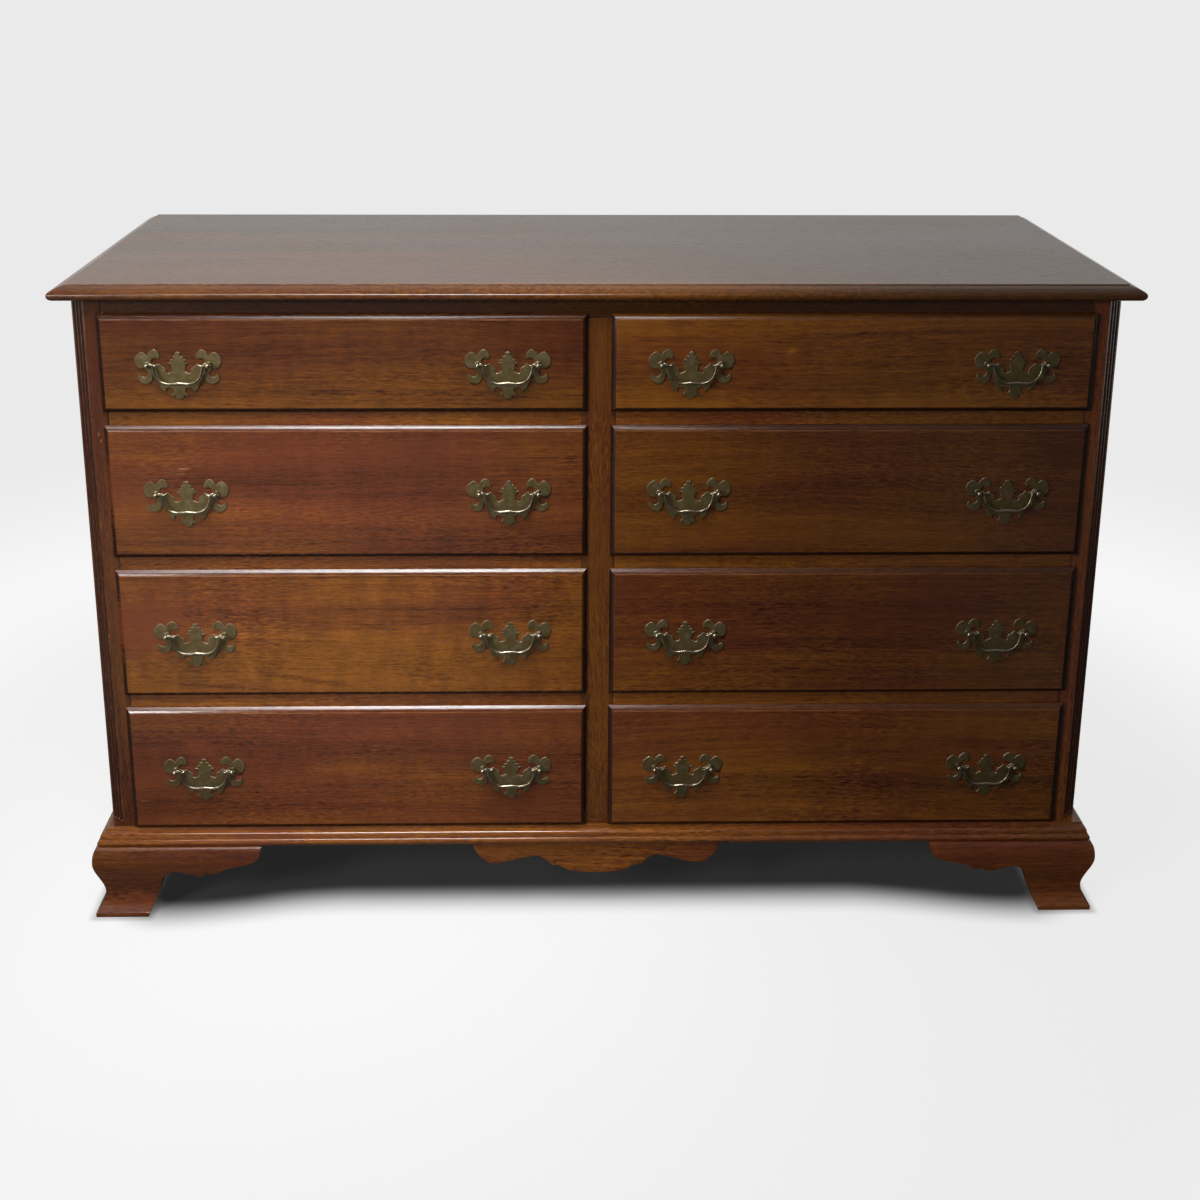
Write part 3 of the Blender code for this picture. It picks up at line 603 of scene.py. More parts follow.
@node_group(NodeSocketVector="Grain", NodeSocketFloat="Light Warmth Ribbon", NodeSocketColor="Red Gold Dark")
def mahogany_figure(nodes, grain, light, warmth, ribbon, red, gold, dark):
    """Mahogany's colour and surface: bands and streaks along the grain, pores, and a ribbon
    figure across it. Grain is the place in the log, in metres, with X along the grain."""
    wander = swing(nodes.noise(grain, (1.3, 4.0, 4.0)), 0.050)
    sway = swing(nodes.noise(grain, (7.0, 14.0, 14.0)), 0.006)
    line = nodes.vector("ADD", grain, nodes.add("ShaderNodeCombineXYZ", {1: wander + sway}))
    bands = nodes.noise(line, (0.7, 24.0, 12.0), 4.0, 0.55)
    streaks = nodes.noise(line, (3.4, 270.0, 80.0), 3.0, 0.6)
    fine = nodes.noise(line, (34.0, 700.0, 300.0), 2.0, 0.6)
    flecks = nodes.noise(line, (95.0, 440.0, 300.0), 2.0, 0.6)
    pores = nodes.ramp(nodes.noise(line, (70.0, 1200.0, 900.0), 1.0), 0.58, 0.74)
    clouds = nodes.noise(grain, (2.6, 6.0, 6.0), 3.0)
    curl = nodes.noise(line, (42.0, 16.0, 16.0), 2.0, 0.6)
    lively = nodes.ramp(nodes.noise(grain, (5.0, 11.0, 11.0)), 0.35, 0.7) + 0.5
    tone = swing(bands, 1.5) + swing(streaks, 1.05) + swing(fine, 1.15) + lively * swing(flecks, 1.6)
    golden = nodes.ramp(warmth + swing(clouds, 2.2) + tone * 0.45, 0.0, 1.0)
    level = light * (tone * 0.75 + 1.0) * (ribbon * swing(curl, 1.2) + 1.0)
    colour = nodes.scale(nodes.mix(golden, red, gold), level)
    colour = nodes.mix(nodes.ramp(tone * -1.0, 0.22, 0.95) * 0.65, colour, dark)
    colour = nodes.mix(pores * 0.55, colour, dark)
    return {"Color": colour, "Height": swing(fine, 0.6) - pores, "Pores": pores, "Clouds": clouds}


@node_group(NodeSocketVector="Grain", NodeSocketFloat="Wear", NodeSocketColor="Color Worn Thick")
def rubbed_edges(nodes, grain, wear, colour, worn, thick):
    """Colour rubbed through on edges: the wear mask broken up by noise along the grain. Where
    wear is below 0, the colour is darkened: partly heavy stain, partly painted shade in gaps,
    hollows and on faces turned from the light."""
    mask = nodes.ramp(wear * (nodes.noise(grain, (28.0, 90.0, 90.0), 3.0, 0.65) + 0.15), 0.42, 0.95)
    stain_and_shade = nodes.math("MULTIPLY", wear, -1.0, clamp=True) * 0.9
    return {"Color": nodes.mix(stain_and_shade, nodes.mix(mask, colour, worn), thick), "Mask": mask}


@node_group(NodeSocketVector="Position Place Turn Size", NodeSocketFloat="Break")
def mark_mask(nodes, position, place, turn, size, ragged):
    """The mask of one mark: 1 inside an ellipsoid whose edge is broken up by noise."""
    inputs = {"Vector": position, "Location": place, "Rotation": turn, "Scale": size}
    local = nodes.add("ShaderNodeMapping", inputs, vector_type="TEXTURE")
    distance = nodes.vector("LENGTH", local, output="Value")
    return {"Mask": 1.0 - nodes.ramp(distance + ragged, 0.3, 1.1)}


@node_group(NodeSocketVector="Position", NodeSocketFloat="Wear Tarnish", NodeSocketColor="Bright Aged")
def brass_patina(nodes, position, wear, tarnish, bright, aged):
    """Brass: cloudy tarnish that is thinner on the edges, with a few darker specks."""
    clouds = nodes.noise(position, (90.0, 90.0, 90.0), 3.0, 0.6)
    fine = nodes.noise(position, (700.0, 700.0, 700.0), 3.0, 0.7)
    mask = nodes.ramp(tarnish + swing(clouds, 0.9) + swing(fine, 0.35) - wear * 0.7, 0.1, 0.9)
    specks = nodes.ramp(nodes.noise(position, (420.0, 420.0, 420.0)), 0.62, 0.78)
    colour = nodes.mix(specks * 0.45, nodes.mix(mask, bright, aged), (0.03, 0.022, 0.012, 1.0))
    return {"Color": colour, "Mask": mask, "Height": fine - specks * 0.5}


@node_group(NodeSocketVector="Grain", NodeSocketColor="Pale Dark")
def plain_grain(nodes, grain, pale, dark):
    """A pale wood's colour: long fine lines between two colours, and short pores."""
    wander = swing(nodes.noise(grain, (2.0, 6.0, 6.0)), 0.04)
    line = nodes.vector("ADD", grain, nodes.add("ShaderNodeCombineXYZ", {1: wander}))
    bands = nodes.noise(line, (0.9, 42.0, 20.0), 4.0, 0.6)
    fine = nodes.noise(line, (9.0, 520.0, 180.0), 3.0, 0.6)
    pores = nodes.ramp(nodes.noise(line, (45.0, 1100.0, 700.0), 1.0), 0.6, 0.75)
    lines = nodes.ramp(swing(bands, 2.2) + swing(fine, 1.2), -0.7, 0.9)
    colour = nodes.mix(pores * 0.4, nodes.mix(lines, pale, dark), dark)
    return {"Color": colour, "Height": swing(fine, 0.8) - pores}


def new_material(name):
    """A material with only its Principled shader. Returns the material, its Nodes and the shader."""
    material = bpy.data.materials.new(name)
    material.use_nodes = True
    return material, Nodes(material.node_tree), material.node_tree.nodes["Principled BSDF"]


def nicks(*places):
    """Marks where the bare wood shows."""
    return tuple((*place, 0.0, "worn", 0.8) for place in places)


# Marks: middle across and up, half length and half height in millimetres, turn in degrees, what
# shows there and how strongly
FRONT_MARKS = (
    (-341.0, 747.0, 42.0, 5.0, 5.0, "dark", 0.35),
    (-532.0, 645.2, 13.0, 1.2, 0.0, "pale", 0.80),
    (-535.0, 638.5, 9.0, 1.0, 0.0, "pale", 0.35),
    (-384.0, 349.5, 75.0, 5.0, 9.0, "dark", 0.45),
    (-507.0, 341.0, 105.0, 3.5, 5.0, "dark", 0.45),
    (-215.0, 352.0, 55.0, 3.0, 5.0, "dark", 0.35),
    (-330.0, 218.0, 90.0, 15.0, 0.0, "gold", 0.30),
    (-287.0, 424.7, 32.0, 5.0, 8.0, "dark", 0.35),
    (-534.0, 250.0, 32.0, 17.0, 20.0, "red", 0.65),
    (-600.0, 425.0, 100.0, 60.0, 0.0, "red", 0.75),
    (-615.0, 620.0, 90.0, 60.0, 0.0, "red", 0.55),
    (-613.0, 171.2, 9.0, 1.3, 0.0, "worn", 0.7),
    (242.7, 800.5, 14.0, 7.0, 0.0, "gold", 0.35),
    (242.7, 800.5, 5.5, 4.5, 0.0, "gold", 0.95),
) + nicks(
    (630.7, 593.4, 2.5, 2.5), (315.4, 519.3, 3.0, 1.6), (616.2, 357.6, 2.5, 2.0),
    (419.5, 313.0, 3.0, 1.6), (394.1, 208.5, 2.0, 2.6), (422.1, 197.7, 3.2, 1.2),
)
MOULDING_MARKS = nicks((652.4, 115.0, 5.0, 2.0))
CASE_MARKS = ((60.0, 875.0, 380.0, 16.0, 0.0, "gold", 0.50),) + nicks(
    (-638.8, 689.5, 1.6, 4.0), (-636.3, 680.1, 1.4, 3.0), (-677.2, 85.0, 1.8, 1.8),
    (-668.8, 78.8, 2.2, 1.4), (-579.7, 81.2, 1.8, 1.4), (467.4, 91.6, 6.0, 4.5),
) + MOULDING_MARKS
MARK_DEPTH = 0.03


def mahogany(name, marks, specular=0.5, roughness=None, relief=0.00003):
    """Stained and lacquered mahogany that reads each board's grain, stain, wear and painted shade, with
    marks.
    """
    finish = bpy.context.scene.dresser_finish
    material, nodes, shader = new_material(name)
    grain = nodes.attribute("grain")
    light, warmth, ribbon = nodes.separate(nodes.attribute("stain"))
    figure = mahogany_figure(
        nodes, Grain=grain, Light=light, Warmth=warmth, Ribbon=ribbon,
        Red=rgba(finish.red), Gold=rgba(finish.gold), Dark=rgba(finish.dark))
    # Below 0, wear darkens the wood towards dark grain: heavy stain, and painted shade in gaps, flutes, the
    # fillet and the lips' shaded sides.
    rubbed = rubbed_edges(
        nodes, Grain=grain, Wear=nodes.attribute("wear", "Fac"), Color=figure["Color"],
        Worn=rgba(finish.worn), Thick=rgba(finish.dark, 0.6))
    shown = rubbed["Color"]
    position = nodes.position()
    broken = swing(nodes.noise(position, (160.0, 160.0, 260.0)), 1.6)
    tones = {"worn": rgba(finish.worn), "dark": rgba(finish.dark), "red": rgba(finish.red, 1.6),
             "gold": rgba(finish.gold, 2.0), "pale": rgba(finish.oak)}
    for x, z, half_x, half_z, turn, tone, amount in marks:
        mark = mark_mask(
            nodes, Position=position, Break=broken, Place=(x * MM, FACE_Y, z * MM),
            Turn=(0.0, math.radians(turn), 0.0), Size=(half_x * MM, MARK_DEPTH, half_z * MM))
        shown = nodes.mix(mark["Mask"] * amount, shown, tones[tone])
    rough = swing(figure["Clouds"], 0.12) + (roughness or finish.lacquer)
    nodes.fill(shader, {
        "Base Color": shown, "Roughness": rough + figure["Pores"] * 0.12 + rubbed["Mask"] * 0.2,
        "Specular IOR Level": specular, "Normal": nodes.bump(figure["Height"], relief)})
    return material


def pale_wood(name, own_grain=True):
    """Unfinished wood. A solid without its own grain attribute reads its place instead."""
    finish = bpy.context.scene.dresser_finish
    material, nodes, shader = new_material(name)
    grain = nodes.attribute("grain") if own_grain else nodes.position()
    wood = plain_grain(nodes, Grain=grain, Pale=rgba(finish.oak), Dark=rgba(finish.oak_dark))
    nodes.fill(shader, {
        "Base Color": wood["Color"], "Roughness": wood["Height"] * -0.08 + 0.58,
        "Specular IOR Level": 0.3, "Normal": nodes.bump(wood["Height"], 0.00012)})
    return material


def aged_brass(name, depth, tarnish, roughness):
    """Brass whose patina's colour is depth times the finish's own."""
    finish = bpy.context.scene.dresser_finish
    material, nodes, shader = new_material(name)
    patina = brass_patina(
        nodes, Position=nodes.position(), Wear=nodes.attribute("wear", "Fac"), Tarnish=tarnish,
        Bright=rgba(finish.brass), Aged=rgba(finish.patina, depth))
    nodes.fill(shader, {
        "Base Color": patina["Color"], "Roughness": patina["Mask"] * 0.16 + roughness,
        "Metallic": 1.0, "Normal": nodes.bump(patina["Height"], 0.00002)})
    return material


# Each finish's slot in the record and what makes it. The moulding's pores are filled and rubbed
# to a shine.
FINISHES = {
    "case_mahogany": ("mahogany", lambda name: mahogany(name, CASE_MARKS)),
    "front_mahogany": ("mahogany", lambda name: mahogany(name, FRONT_MARKS)),
    "moulding_mahogany": ("mahogany", lambda name: mahogany(name, MOULDING_MARKS, 0.7, 0.13, 0.00001)),
    "drawer_wood_finish": ("drawer_wood", pale_wood),
    "plate_brass": ("brass", lambda name: aged_brass(name, 1.0, 0.85, 0.48)),
    # The bail's and posts' patina is darker than the plate's: painted shade for the dark wood that the bars
    # reflect.
    "bail_brass": ("brass", lambda name: aged_brass(name, 0.55, 0.70, 0.25)),
}


# Case


def make_top():
    """The top board: its outline moved in along the moulded edge's profile, square at the back."""
    profile = drawn(TOP_PROFILE, 0.0006)
    flat_rim = 0.006
    corner_radius = 0.003
    back_ease = 0.0008
    profile = np.concatenate([[(profile[0, 0] + flat_rim, 0.0)], profile])
    wear = np.interp(np.arange(len(profile)), [0, 1, 3, 8, len(profile) - 1], [0.0, 1.0, 0.8, 0.0, 0.25])
    inset, below = profile.T[..., None]
    half = TOP_HIGH.x - inset
    radius = corner_radius * np.clip(1.0 - inset / profile[1, 0], 0.08, 1.0)
    cosine, sine = quarter(5)
    arc_x = half - radius + radius * sine
    arc_y = TOP_LOW.y + inset + radius - radius * cosine
    back = np.full(inset.shape, BACK_Y - back_ease)
    x = np.hstack([-arc_x[:, ::-1], arc_x, half, half - back_ease, back_ease - half, -half])
    y = np.hstack([arc_y[:, ::-1], arc_y, back, back + back_ease, back + back_ease, back])
    z = np.broadcast_to(TOP_HIGH.z - below, x.shape)
    skin = Skin(np.stack([x, y, z], axis=-1), timber(FLAT_X, 3, 0.75, 0.60, 0.25), wear[:, None])
    make_piece("moulded_top", [skin], "case_mahogany", "top_board", angle=28.0)


def corner_post(side, shape):
    """A corner post whose outer corner is planed off and fluted.

    A point of the cant lies at distance s from its middle line. Each flute takes out
    sqrt(r*r - u*u) minus the cutter's stand-off there, where u is the distance from the flute's
    middle line and grows with the height below the flute's lower end, so that it ends in a bowl.
    """
    width = CANT * math.sqrt(2.0)
    arris = 0.0012
    radius = shape.flute_radius
    half_flute = math.sqrt(radius ** 2 - shape.flute_proud ** 2)
    middles = (np.arange(3) - 1) * shape.flute_pitch
    across = np.sin(np.linspace(-math.pi / 2, math.pi / 2, 13)) * half_flute
    s = np.concatenate([[-width / 2, arris - width / 2], (middles[:, None] + across).ravel(),
                        [width / 2 - arris, width / 2]])
    low = MOULD_TOP + shape.flute_stop + half_flute
    fluted_z = np.concatenate([[MOULD_TOP], low - half_flute * quarter(9)[0], [low + 0.05, CASE_TOP]])
    below = np.maximum(low - fluted_z, 0.0)
    u2 = (s[None, :, None] - middles) ** 2 + (below ** 2)[:, None, None]
    depth = (np.sqrt(np.maximum(radius ** 2 - u2, 0.0)) - shape.flute_proud).max(axis=-1)
    depth = np.maximum(depth, 0.0) / math.sqrt(2.0)
    t = CANT * (s / width + 0.5)
    start = CASE_HALF - CANT
    square_x = np.minimum(start + 2 * t, CASE_HALF)
    square_y = FACE_Y + np.maximum(2 * t - CANT, 0.0)
    z = np.concatenate([[CASE_BOTTOM, MOULD_TOP], fluted_z])
    one = np.ones((len(z), 1))
    inner = OPENINGS["right", 1].right
    x = np.vstack([square_x, square_x, start + t - depth])
    x = np.hstack([one * (inner, inner, inner + GAP, inner + 0.004), x, one * CASE_HALF])
    y = np.vstack([square_y, square_y, FACE_Y + t + depth])
    y = np.hstack([one * (FRAME_BACK_Y, FACE_Y + GAP, FACE_Y, FACE_Y), y, one * FRAME_BACK_Y])
    wear = np.zeros(x.shape)
    # Painted shade: the post's edge beside the drawer opening is darkened, and so is each flute, the more the
    # deeper it is; the lands between the flutes are rubbed.
    wear[:, 1:3] = -0.7
    wear[2:, 4:-1] = np.where(depth > 0.0001, -1.1 * depth / depth.max(), 0.75)
    points = np.stack([side * x, y, np.broadcast_to(z[:, None], x.shape)], axis=-1)
    # The right post's wood is much lighter than the left's: painted light, making up for the weaker light on
    # the right.
    return Skin(points, timber(ALONG_Z, 11 + side, 1.26 + 0.54 * side, 0.30, 0.15), wear)


def make_frame(shape):
    """Corner posts, centre stile and rails: the boards that the face frame is glued up from."""
    for side, column in SIDES:
        post = corner_post(side, shape)
        make_piece(column + "_corner_post", [post], "case_mahogany", "face_frame", angle=24.0)
    top, base = OPENINGS["left", 1], OPENINGS["left", 4]
    first, last = top.left + JOINT, OPENINGS["right", 1].right - JOINT
    boards = {
        "centre_stile": (top.right, OPENINGS["right", 1].left, base.bottom, top.top,
                         timber(ALONG_Z, 17, 0.85, 0.50, 0.2), 0.5),
        # The top rail's wood is darkened: painted shade for the shadow under the top's overhang.
        "top_rail": (first, last, top.top + JOINT, CASE_TOP, timber(ALONG_X, 21, 0.5, 0.35), 0.3),
        "bottom_rail": (first, last, CASE_BOTTOM, base.bottom - JOINT, timber(ALONG_X, 23, 0.9, 0.5), 0.3),
    }
    for (column, row), lower in OPENINGS.items():
        if row > 1:
            number = COLUMNS.index(column)
            # The left rails are a little lighter than the right ones: painted light for the lamps on the
            # left.
            cut = timber(ALONG_X, 25 + 3 * row + number, 1.44 - 0.06 * number, 0.70, 0.3)
            high = OPENINGS[column, row - 1].bottom
            boards[f"rail_{column}_{row}"] = (
                lower.left + JOINT, lower.right - JOINT, lower.top, high, cut, 0.5)
    for name, (x0, x1, z0, z1, cut, worn) in boards.items():
        skin = board((x0, FACE_Y, z0), (x1, FRAME_BACK_Y, z1), cut, shape.edge_ease, worn)
        make_piece(name, [skin], "case_mahogany", "face_frame")


def runners(wall, reach, ease):
    """Under each drawer a runner, and on it the guide that keeps the drawer straight. reach goes
    from the wall to the drawer's side and is below 0 where that lies to the left."""
    sign = math.copysign(1, reach)
    near = wall + sign * JOINT
    guide = wall + reach
    skins = []
    for row in ROWS:
        bottom = OPENINGS["right", row].bottom
        for far, low, high, number in (
            (guide + sign * RUNNER_REACH, bottom - RUNNER_THICK, bottom, 41 + row),
            (guide, bottom + JOINT, bottom + GUIDE_HEIGHT, 51 + row),
        ):
            cut = timber(ALONG_Y, number)
            skins.append(board((near, PANEL_FRONT, low), (far, PANEL_BACK, high), cut, ease, 0.0))
    return skins


def make_panels(shape):
    """Side panels, centre partition, their runners, and the back sheet's plywood."""
    ease = shape.edge_ease
    inner = CASE_HALF - SIDE_THICK
    for side, column in SIDES:
        node = column + "_side_panel"
        # The side boards' wood is lightened: painted light for sides that the lamps hardly reach.
        cut = timber(ALONG_Z, 61 + side, 1.15, 0.4, 0.5)
        skins = []
        for rabbet, front, back in ((0.0, PANEL_FRONT, PANEL_BACK), (BACK_RABBET, PANEL_BACK, BACK_Y)):
            low = (side * (inner + rabbet), front, CASE_BOTTOM)
            skins.append(board(low, (side * CASE_HALF, back, CASE_TOP), cut, ease, 0.4))
        make_piece(column + "_side_board", skins, "case_mahogany", node)
        skins = runners(side * inner, side * (OPENINGS["right", 1].right - inner), ease)
        make_piece(column + "_side_runners", skins, "drawer_wood_finish", node)
    wall = PARTITION_THICK / 2
    low = (-wall, PANEL_FRONT, CASE_BOTTOM)
    skins = [board(low, (wall, PANEL_BACK, CASE_TOP), timber(ALONG_Z, 67), ease, 0.0)]
    for side, _ in SIDES:
        skins += runners(side * wall, side * (OPENINGS["right", 1].left - wall), ease)
    make_piece("partition_and_runners", skins, "drawer_wood_finish", "centre_partition")
    plywood = pale_wood("back_plywood_finish", own_grain=False)
    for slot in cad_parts["back_panel"].material_slots:
        slot.material = plywood


def make_base_moulding():
    """The moulding round the front and both sides, as three runs mitred at the front corners. A
    point of the profile keeps its distance from the case, and a run's ends lie on the mitres. The
    upper edge and the bead are rubbed, and the fillet between them is darkened with painted shade."""
    face = drawn(MOULD_PROFILE, 0.0005)
    # The fillet's -0.6 is painted shade; the upper edge and the bead are rubbed.
    wear = np.interp(face[:, 1] / MM, (17.5, 18.5, 22.7, 23.1), (0.0, -0.6, -0.6, 0.9))
    bead = np.exp(-((face[:, 1] - 5.0 * MM) / (2.0 * MM)) ** 2)
    wear = np.append(np.maximum(wear, 0.7 * bead), (0.0, 0.0))
    out, up = np.concatenate([face, [(GAP, 0.0), (GAP, face[0, 1])]]).T
    x, y, z = CASE_HALF + out, FACE_Y - out, up + CASE_BOTTOM
    back = np.full(len(x), BACK_Y)
    for name, start, end, cut in (
        ("front_moulding", (-x, y, z), (x, y, z), timber(ALONG_X, 71, 1.55, 0.5, 0.2)),
        ("left_moulding", (-x, y, z), (-x, back, z), timber(ALONG_Y, 72, 0.95, 0.5, 0.2)),
        ("right_moulding", (x, y, z), (x, back, z), timber(ALONG_Y, 74, 0.95, 0.5, 0.2)),
    ):
        skin = Skin(np.stack([start, end]).transpose(0, 2, 1), cut, wear)
        make_piece(name, [skin], "moulding_mahogany", "base_moulding", angle=24.0)


# Feet and drop

# Where an ogee foot is rubbed, at its bulge and its pad: height, how far that spreads, how much
FOOT_RUBBED = ((0.083, 0.006, 0.55), (0.004, 0.004, 0.9))


def foot_board(side, inward, ogee, along_x, length, number):
    """One bracket board of a foot, mitred at its outer corner.

    At distance s from the corner, the board reaches from the lower edge e(s) to the top H. A
    point at share h of that height stands out from the case by the ogee profile at its height
    z = e + h (H - e). Near the corner it is drawn back by w(s) times how far the profile falls
    short of its greatest reach, with w falling from 1 at the corner to 0, which is the mitre.
    """
    mitre = 0.060
    ease = 0.0007
    face = drawn(FOOT_PROFILE, 0.0004)
    face[:, 1] *= FOOT_HEIGHT / face[-1, 1]
    reach = face[:, 0].max() if ogee else 0.0
    edge = drawn(BRACKET_EDGE, 0.0016)
    edge[:, 0] *= (length - FOOT_LEG_WIDTH) / edge[-1, 0]
    runs = ((0.0, 0.012, 6), (0.012, mitre, 8), (mitre, FOOT_LEG_WIDTH, 2))
    leg = np.concatenate([np.linspace(*run, endpoint=False) for run in runs])
    s = np.append(leg, FOOT_LEG_WIDTH + edge[:, 0])[:, None]
    lower = np.append(np.zeros(len(leg)), np.minimum(edge[:, 1], FOOT_HEIGHT - 0.0012))[:, None]
    z = lower + face[:, 1] / FOOT_HEIGHT * (FOOT_HEIGHT - lower)
    out = np.interp(z, face[:, 1], face[:, 0]) if ogee else np.zeros(z.shape)
    out[:, :1] -= np.where(lower < 0.0005, 0.0, ease)
    z = np.hstack([z, np.full(s.shape, FOOT_HEIGHT), lower])
    out = np.hstack([out, np.full((len(s), 2), -FOOT_WALL)])
    u = s + np.clip(1.0 - s / mitre, 0.0, 1.0) * (reach - out)
    wear = np.zeros(z.shape)
    wear[:, 0] = 1.0
    wear[:, 1:3] = 0.6
    for height, spread, worn in FOOT_RUBBED:
        wear = np.maximum(wear, np.exp(-((z - height) / spread) ** 2) * worn * (out > 0.0))
    if along_x:
        x = side * (FOOT_HIGH.x - u)
        y = FACE_Y - out if inward > 0 else BACK_Y + out
        # A front foot's face is lighter on the right: painted light, making up for the weaker light there.
        cut = timber(ALONG_X, number, 1.60 + 0.32 * side if inward > 0 else 0.95, 0.40, 0.2)
    else:
        x = side * (CASE_HALF + out)
        y = (FACE_Y - reach if inward > 0 else BACK_Y) + inward * u
        cut = timber(ALONG_Y, number, 0.95, 0.30, 0.2)
    return Skin(np.stack([x, y, z], axis=-1), cut, wear)


def make_feet():
    """Four feet, each two mitred bracket boards and the block glued into their corner."""
    for side, column in SIDES:
        for inward, place in ((1, "front"), (-1, "rear")):
            node = f"{place}_{column}_foot"
            low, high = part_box(node)
            number = 81 + 5 * side + 2 * inward
            brackets = [
                foot_board(side, inward, inward > 0, True, high.x - low.x, number),
                foot_board(side, inward, True, False, high.y - low.y, number + 1),
            ]
            corner_x = CASE_HALF - FOOT_WALL
            corner_y = (FACE_Y if inward > 0 else BACK_Y) + inward * FOOT_WALL
            block = board((side * (corner_x - JOINT), corner_y + inward * JOINT, 0.0),
                          (side * (corner_x - FOOT_BLOCK), corner_y + inward * FOOT_BLOCK, FOOT_HEIGHT),
                          timber(ALONG_Z, number + 3), 0.001, 0.0)
            make_piece(node + "_brackets", brackets, "case_mahogany", node, angle=30.0)
            make_piece(node + "_block", [block], "drawer_wood_finish", node)


def make_drop():
    """The shaped board under the middle, with its lower edge eased."""
    half = drawn(DROP_EDGE, 0.002) * (1, -1) + (0.0, FOOT_HEIGHT)
    ease = 0.0009
    front, back = DROP_LOW.y, DROP_HIGH.y
    levels = [(0.006, front, 0.0), (ease, front, 0.8), (ease * 0.3, front + ease * 0.3, 1.0),
              (0.0, front + ease, 1.0), (0.0, front + 0.004, 0.0), (0.0, back, 0.0)]
    skin = slab(mirrored(half), levels, timber(ALONG_X, 95, 1.75, 0.40, 0.2), 0.6)
    make_piece("shaped_drop", [skin], "case_mahogany", "centre_drop")


# Drawers

# How dark the lip is on its lower, right, upper and left side: partly heavy stain, partly painted shade, so
# the upper side is lightest
LIP_STAIN_AND_SHADE = (1.15, 1.0, 0.40, 1.15)

# How far the step inside the lip is rubbed on the same sides; on the upper side this is partly a painted
# highlight along the step's edge
LIP_WEAR_AND_HIGHLIGHT = (0.5, 0.6, 1.25, 0.6)

# How flat the lip is, from 0 for a quarter ellipse to 1 for its chord
LIP_FLAT = 0.85

# How each drawer front's wood looks: its stretch of log, light, warmth and ribbon figure
FRONT_WOOD = {
    ("left", 1): (103, 0.88, 0.45, 0.5), ("left", 2): (107, 1.20, 0.24, 0.5),
    ("left", 3): (113, 1.16, 0.70, 0.8), ("left", 4): (127, 1.20, 0.28, 0.4),
    ("right", 1): (131, 1.30, 0.62, 0.4), ("right", 2): (137, 0.98, 0.35, 0.3),
    ("right", 3): (139, 0.98, 0.28, 0.3), ("right", 4): (149, 1.22, 0.38, 0.4),
}

# The glued joint in the top left front: its height in the front, and how much lighter the wood is below
GLUE_LINE = 0.031
LIGHTER_BELOW = 1.26


def lip_profile(shape, proud, tenon):
    """A drawer front from its tenon round the lip to its face: inset from the lip, depth, wear.

    The lip is a flattened quarter round, between a quarter ellipse and its chord, that ends a
    small step below the face. Wear falls below 0 where the wood is darkened: in the gap at the
    lip's edge with painted shade, and over the lip partly with heavy stain and partly with painted
    shade. The rubbed line on the step is partly wear and partly a painted highlight.
    """
    width = LIP_OVER - 0.0003
    cosine, sine = quarter(13)
    chord = LIP_FLAT * np.linspace(0.0, 1.0, 13)
    inset = width * ((1 - LIP_FLAT) * (1.0 - cosine) + chord)
    depth = LIP_EDGE + (proud - LIP_EDGE - shape.lip_step) * ((1 - LIP_FLAT) * sine + chord)
    # Over the lip the darkening is partly heavy stain and partly painted shade; in the tail, the gap behind
    # the lip's edge is painted shade.
    stain = np.interp(inset, [0.0, 0.004, width - 0.0006, width], [-1.0, -1.0, -0.75, -0.8])
    tail = [(TENON_PAST_LIP, -tenon, -0.5), (TENON_PAST_LIP, GAP, -1.0), (0.0006, GAP, -1.0),
            (0.0, GAP + 0.0006, -1.0)]
    step = [(LIP_OVER - 0.0001, proud - 0.0002, 0.6), (LIP_OVER + 0.0002, proud, 1.0),
            (LIP_OVER + 0.0008, proud, 0.9), (LIP_OVER + 0.0022, proud, 0.0)]
    return np.concatenate([tail, np.stack([inset, depth, stain], axis=1), step])


def lipped_board(profile, x0, x1, z0, z1, cut, bottom=1, top=1):
    """A board whose edge follows the lip's profile, and is square at its bottom or top where
    that is 0. Its right half is mirrored from its left."""
    inset, depth, wear = profile.T
    x0, x1, z0, z1 = x0 + inset, x1 - inset, z0 + inset * bottom, z1 - inset * top
    x = np.stack([x0 + JOINT, x1 - JOINT, x1, x1, x1 - JOINT, x0 + JOINT, x0, x0], axis=1)
    z = np.stack([z0, z0, z0 + JOINT, z1 - JOINT, z1, z1, z1 - JOINT, z0 + JOINT], axis=1)
    y = np.broadcast_to(FACE_Y - depth[:, None], x.shape)
    # Per side: the lip's darkening, which is stain and painted shade, and the step's rubbing, which is wear
    # and painted highlight.
    wear = wear[:, None] * np.where(wear[:, None] < 0.0, np.repeat(LIP_STAIN_AND_SHADE, 2), np.repeat(LIP_WEAR_AND_HIGHLIGHT, 2))
    return Skin(np.stack([x, y, z], axis=-1), cut, wear)


def make_drawer_fronts(shape):
    """Eight lipped fronts. The top left one is glued up from two boards of unlike colour."""
    for (column, row), (number, light, warmth, ribbon) in FRONT_WOOD.items():
        tag = f"{column}_{row}"
        low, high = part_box("drawer_front_" + tag)
        profile = lip_profile(shape, FACE_Y - low.y, high.y - FACE_Y)
        cut = timber(ALONG_X, number, light, warmth, ribbon)
        if tag == "left_1":
            joint = low.z + GLUE_LINE
            lower = timber(ALONG_X, number + 6, light * LIGHTER_BELOW, 0.85, ribbon)
            skins = [lipped_board(profile, low.x, high.x, joint + JOINT, high.z, cut, bottom=0),
                     lipped_board(profile, low.x, high.x, low.z, joint, lower, top=0)]
        else:
            skins = [lipped_board(profile, low.x, high.x, low.z, high.z, cut)]
        make_piece("front_" + tag, skins, "front_mahogany", "drawer_front_" + tag, "drawer_" + tag, 26.0)


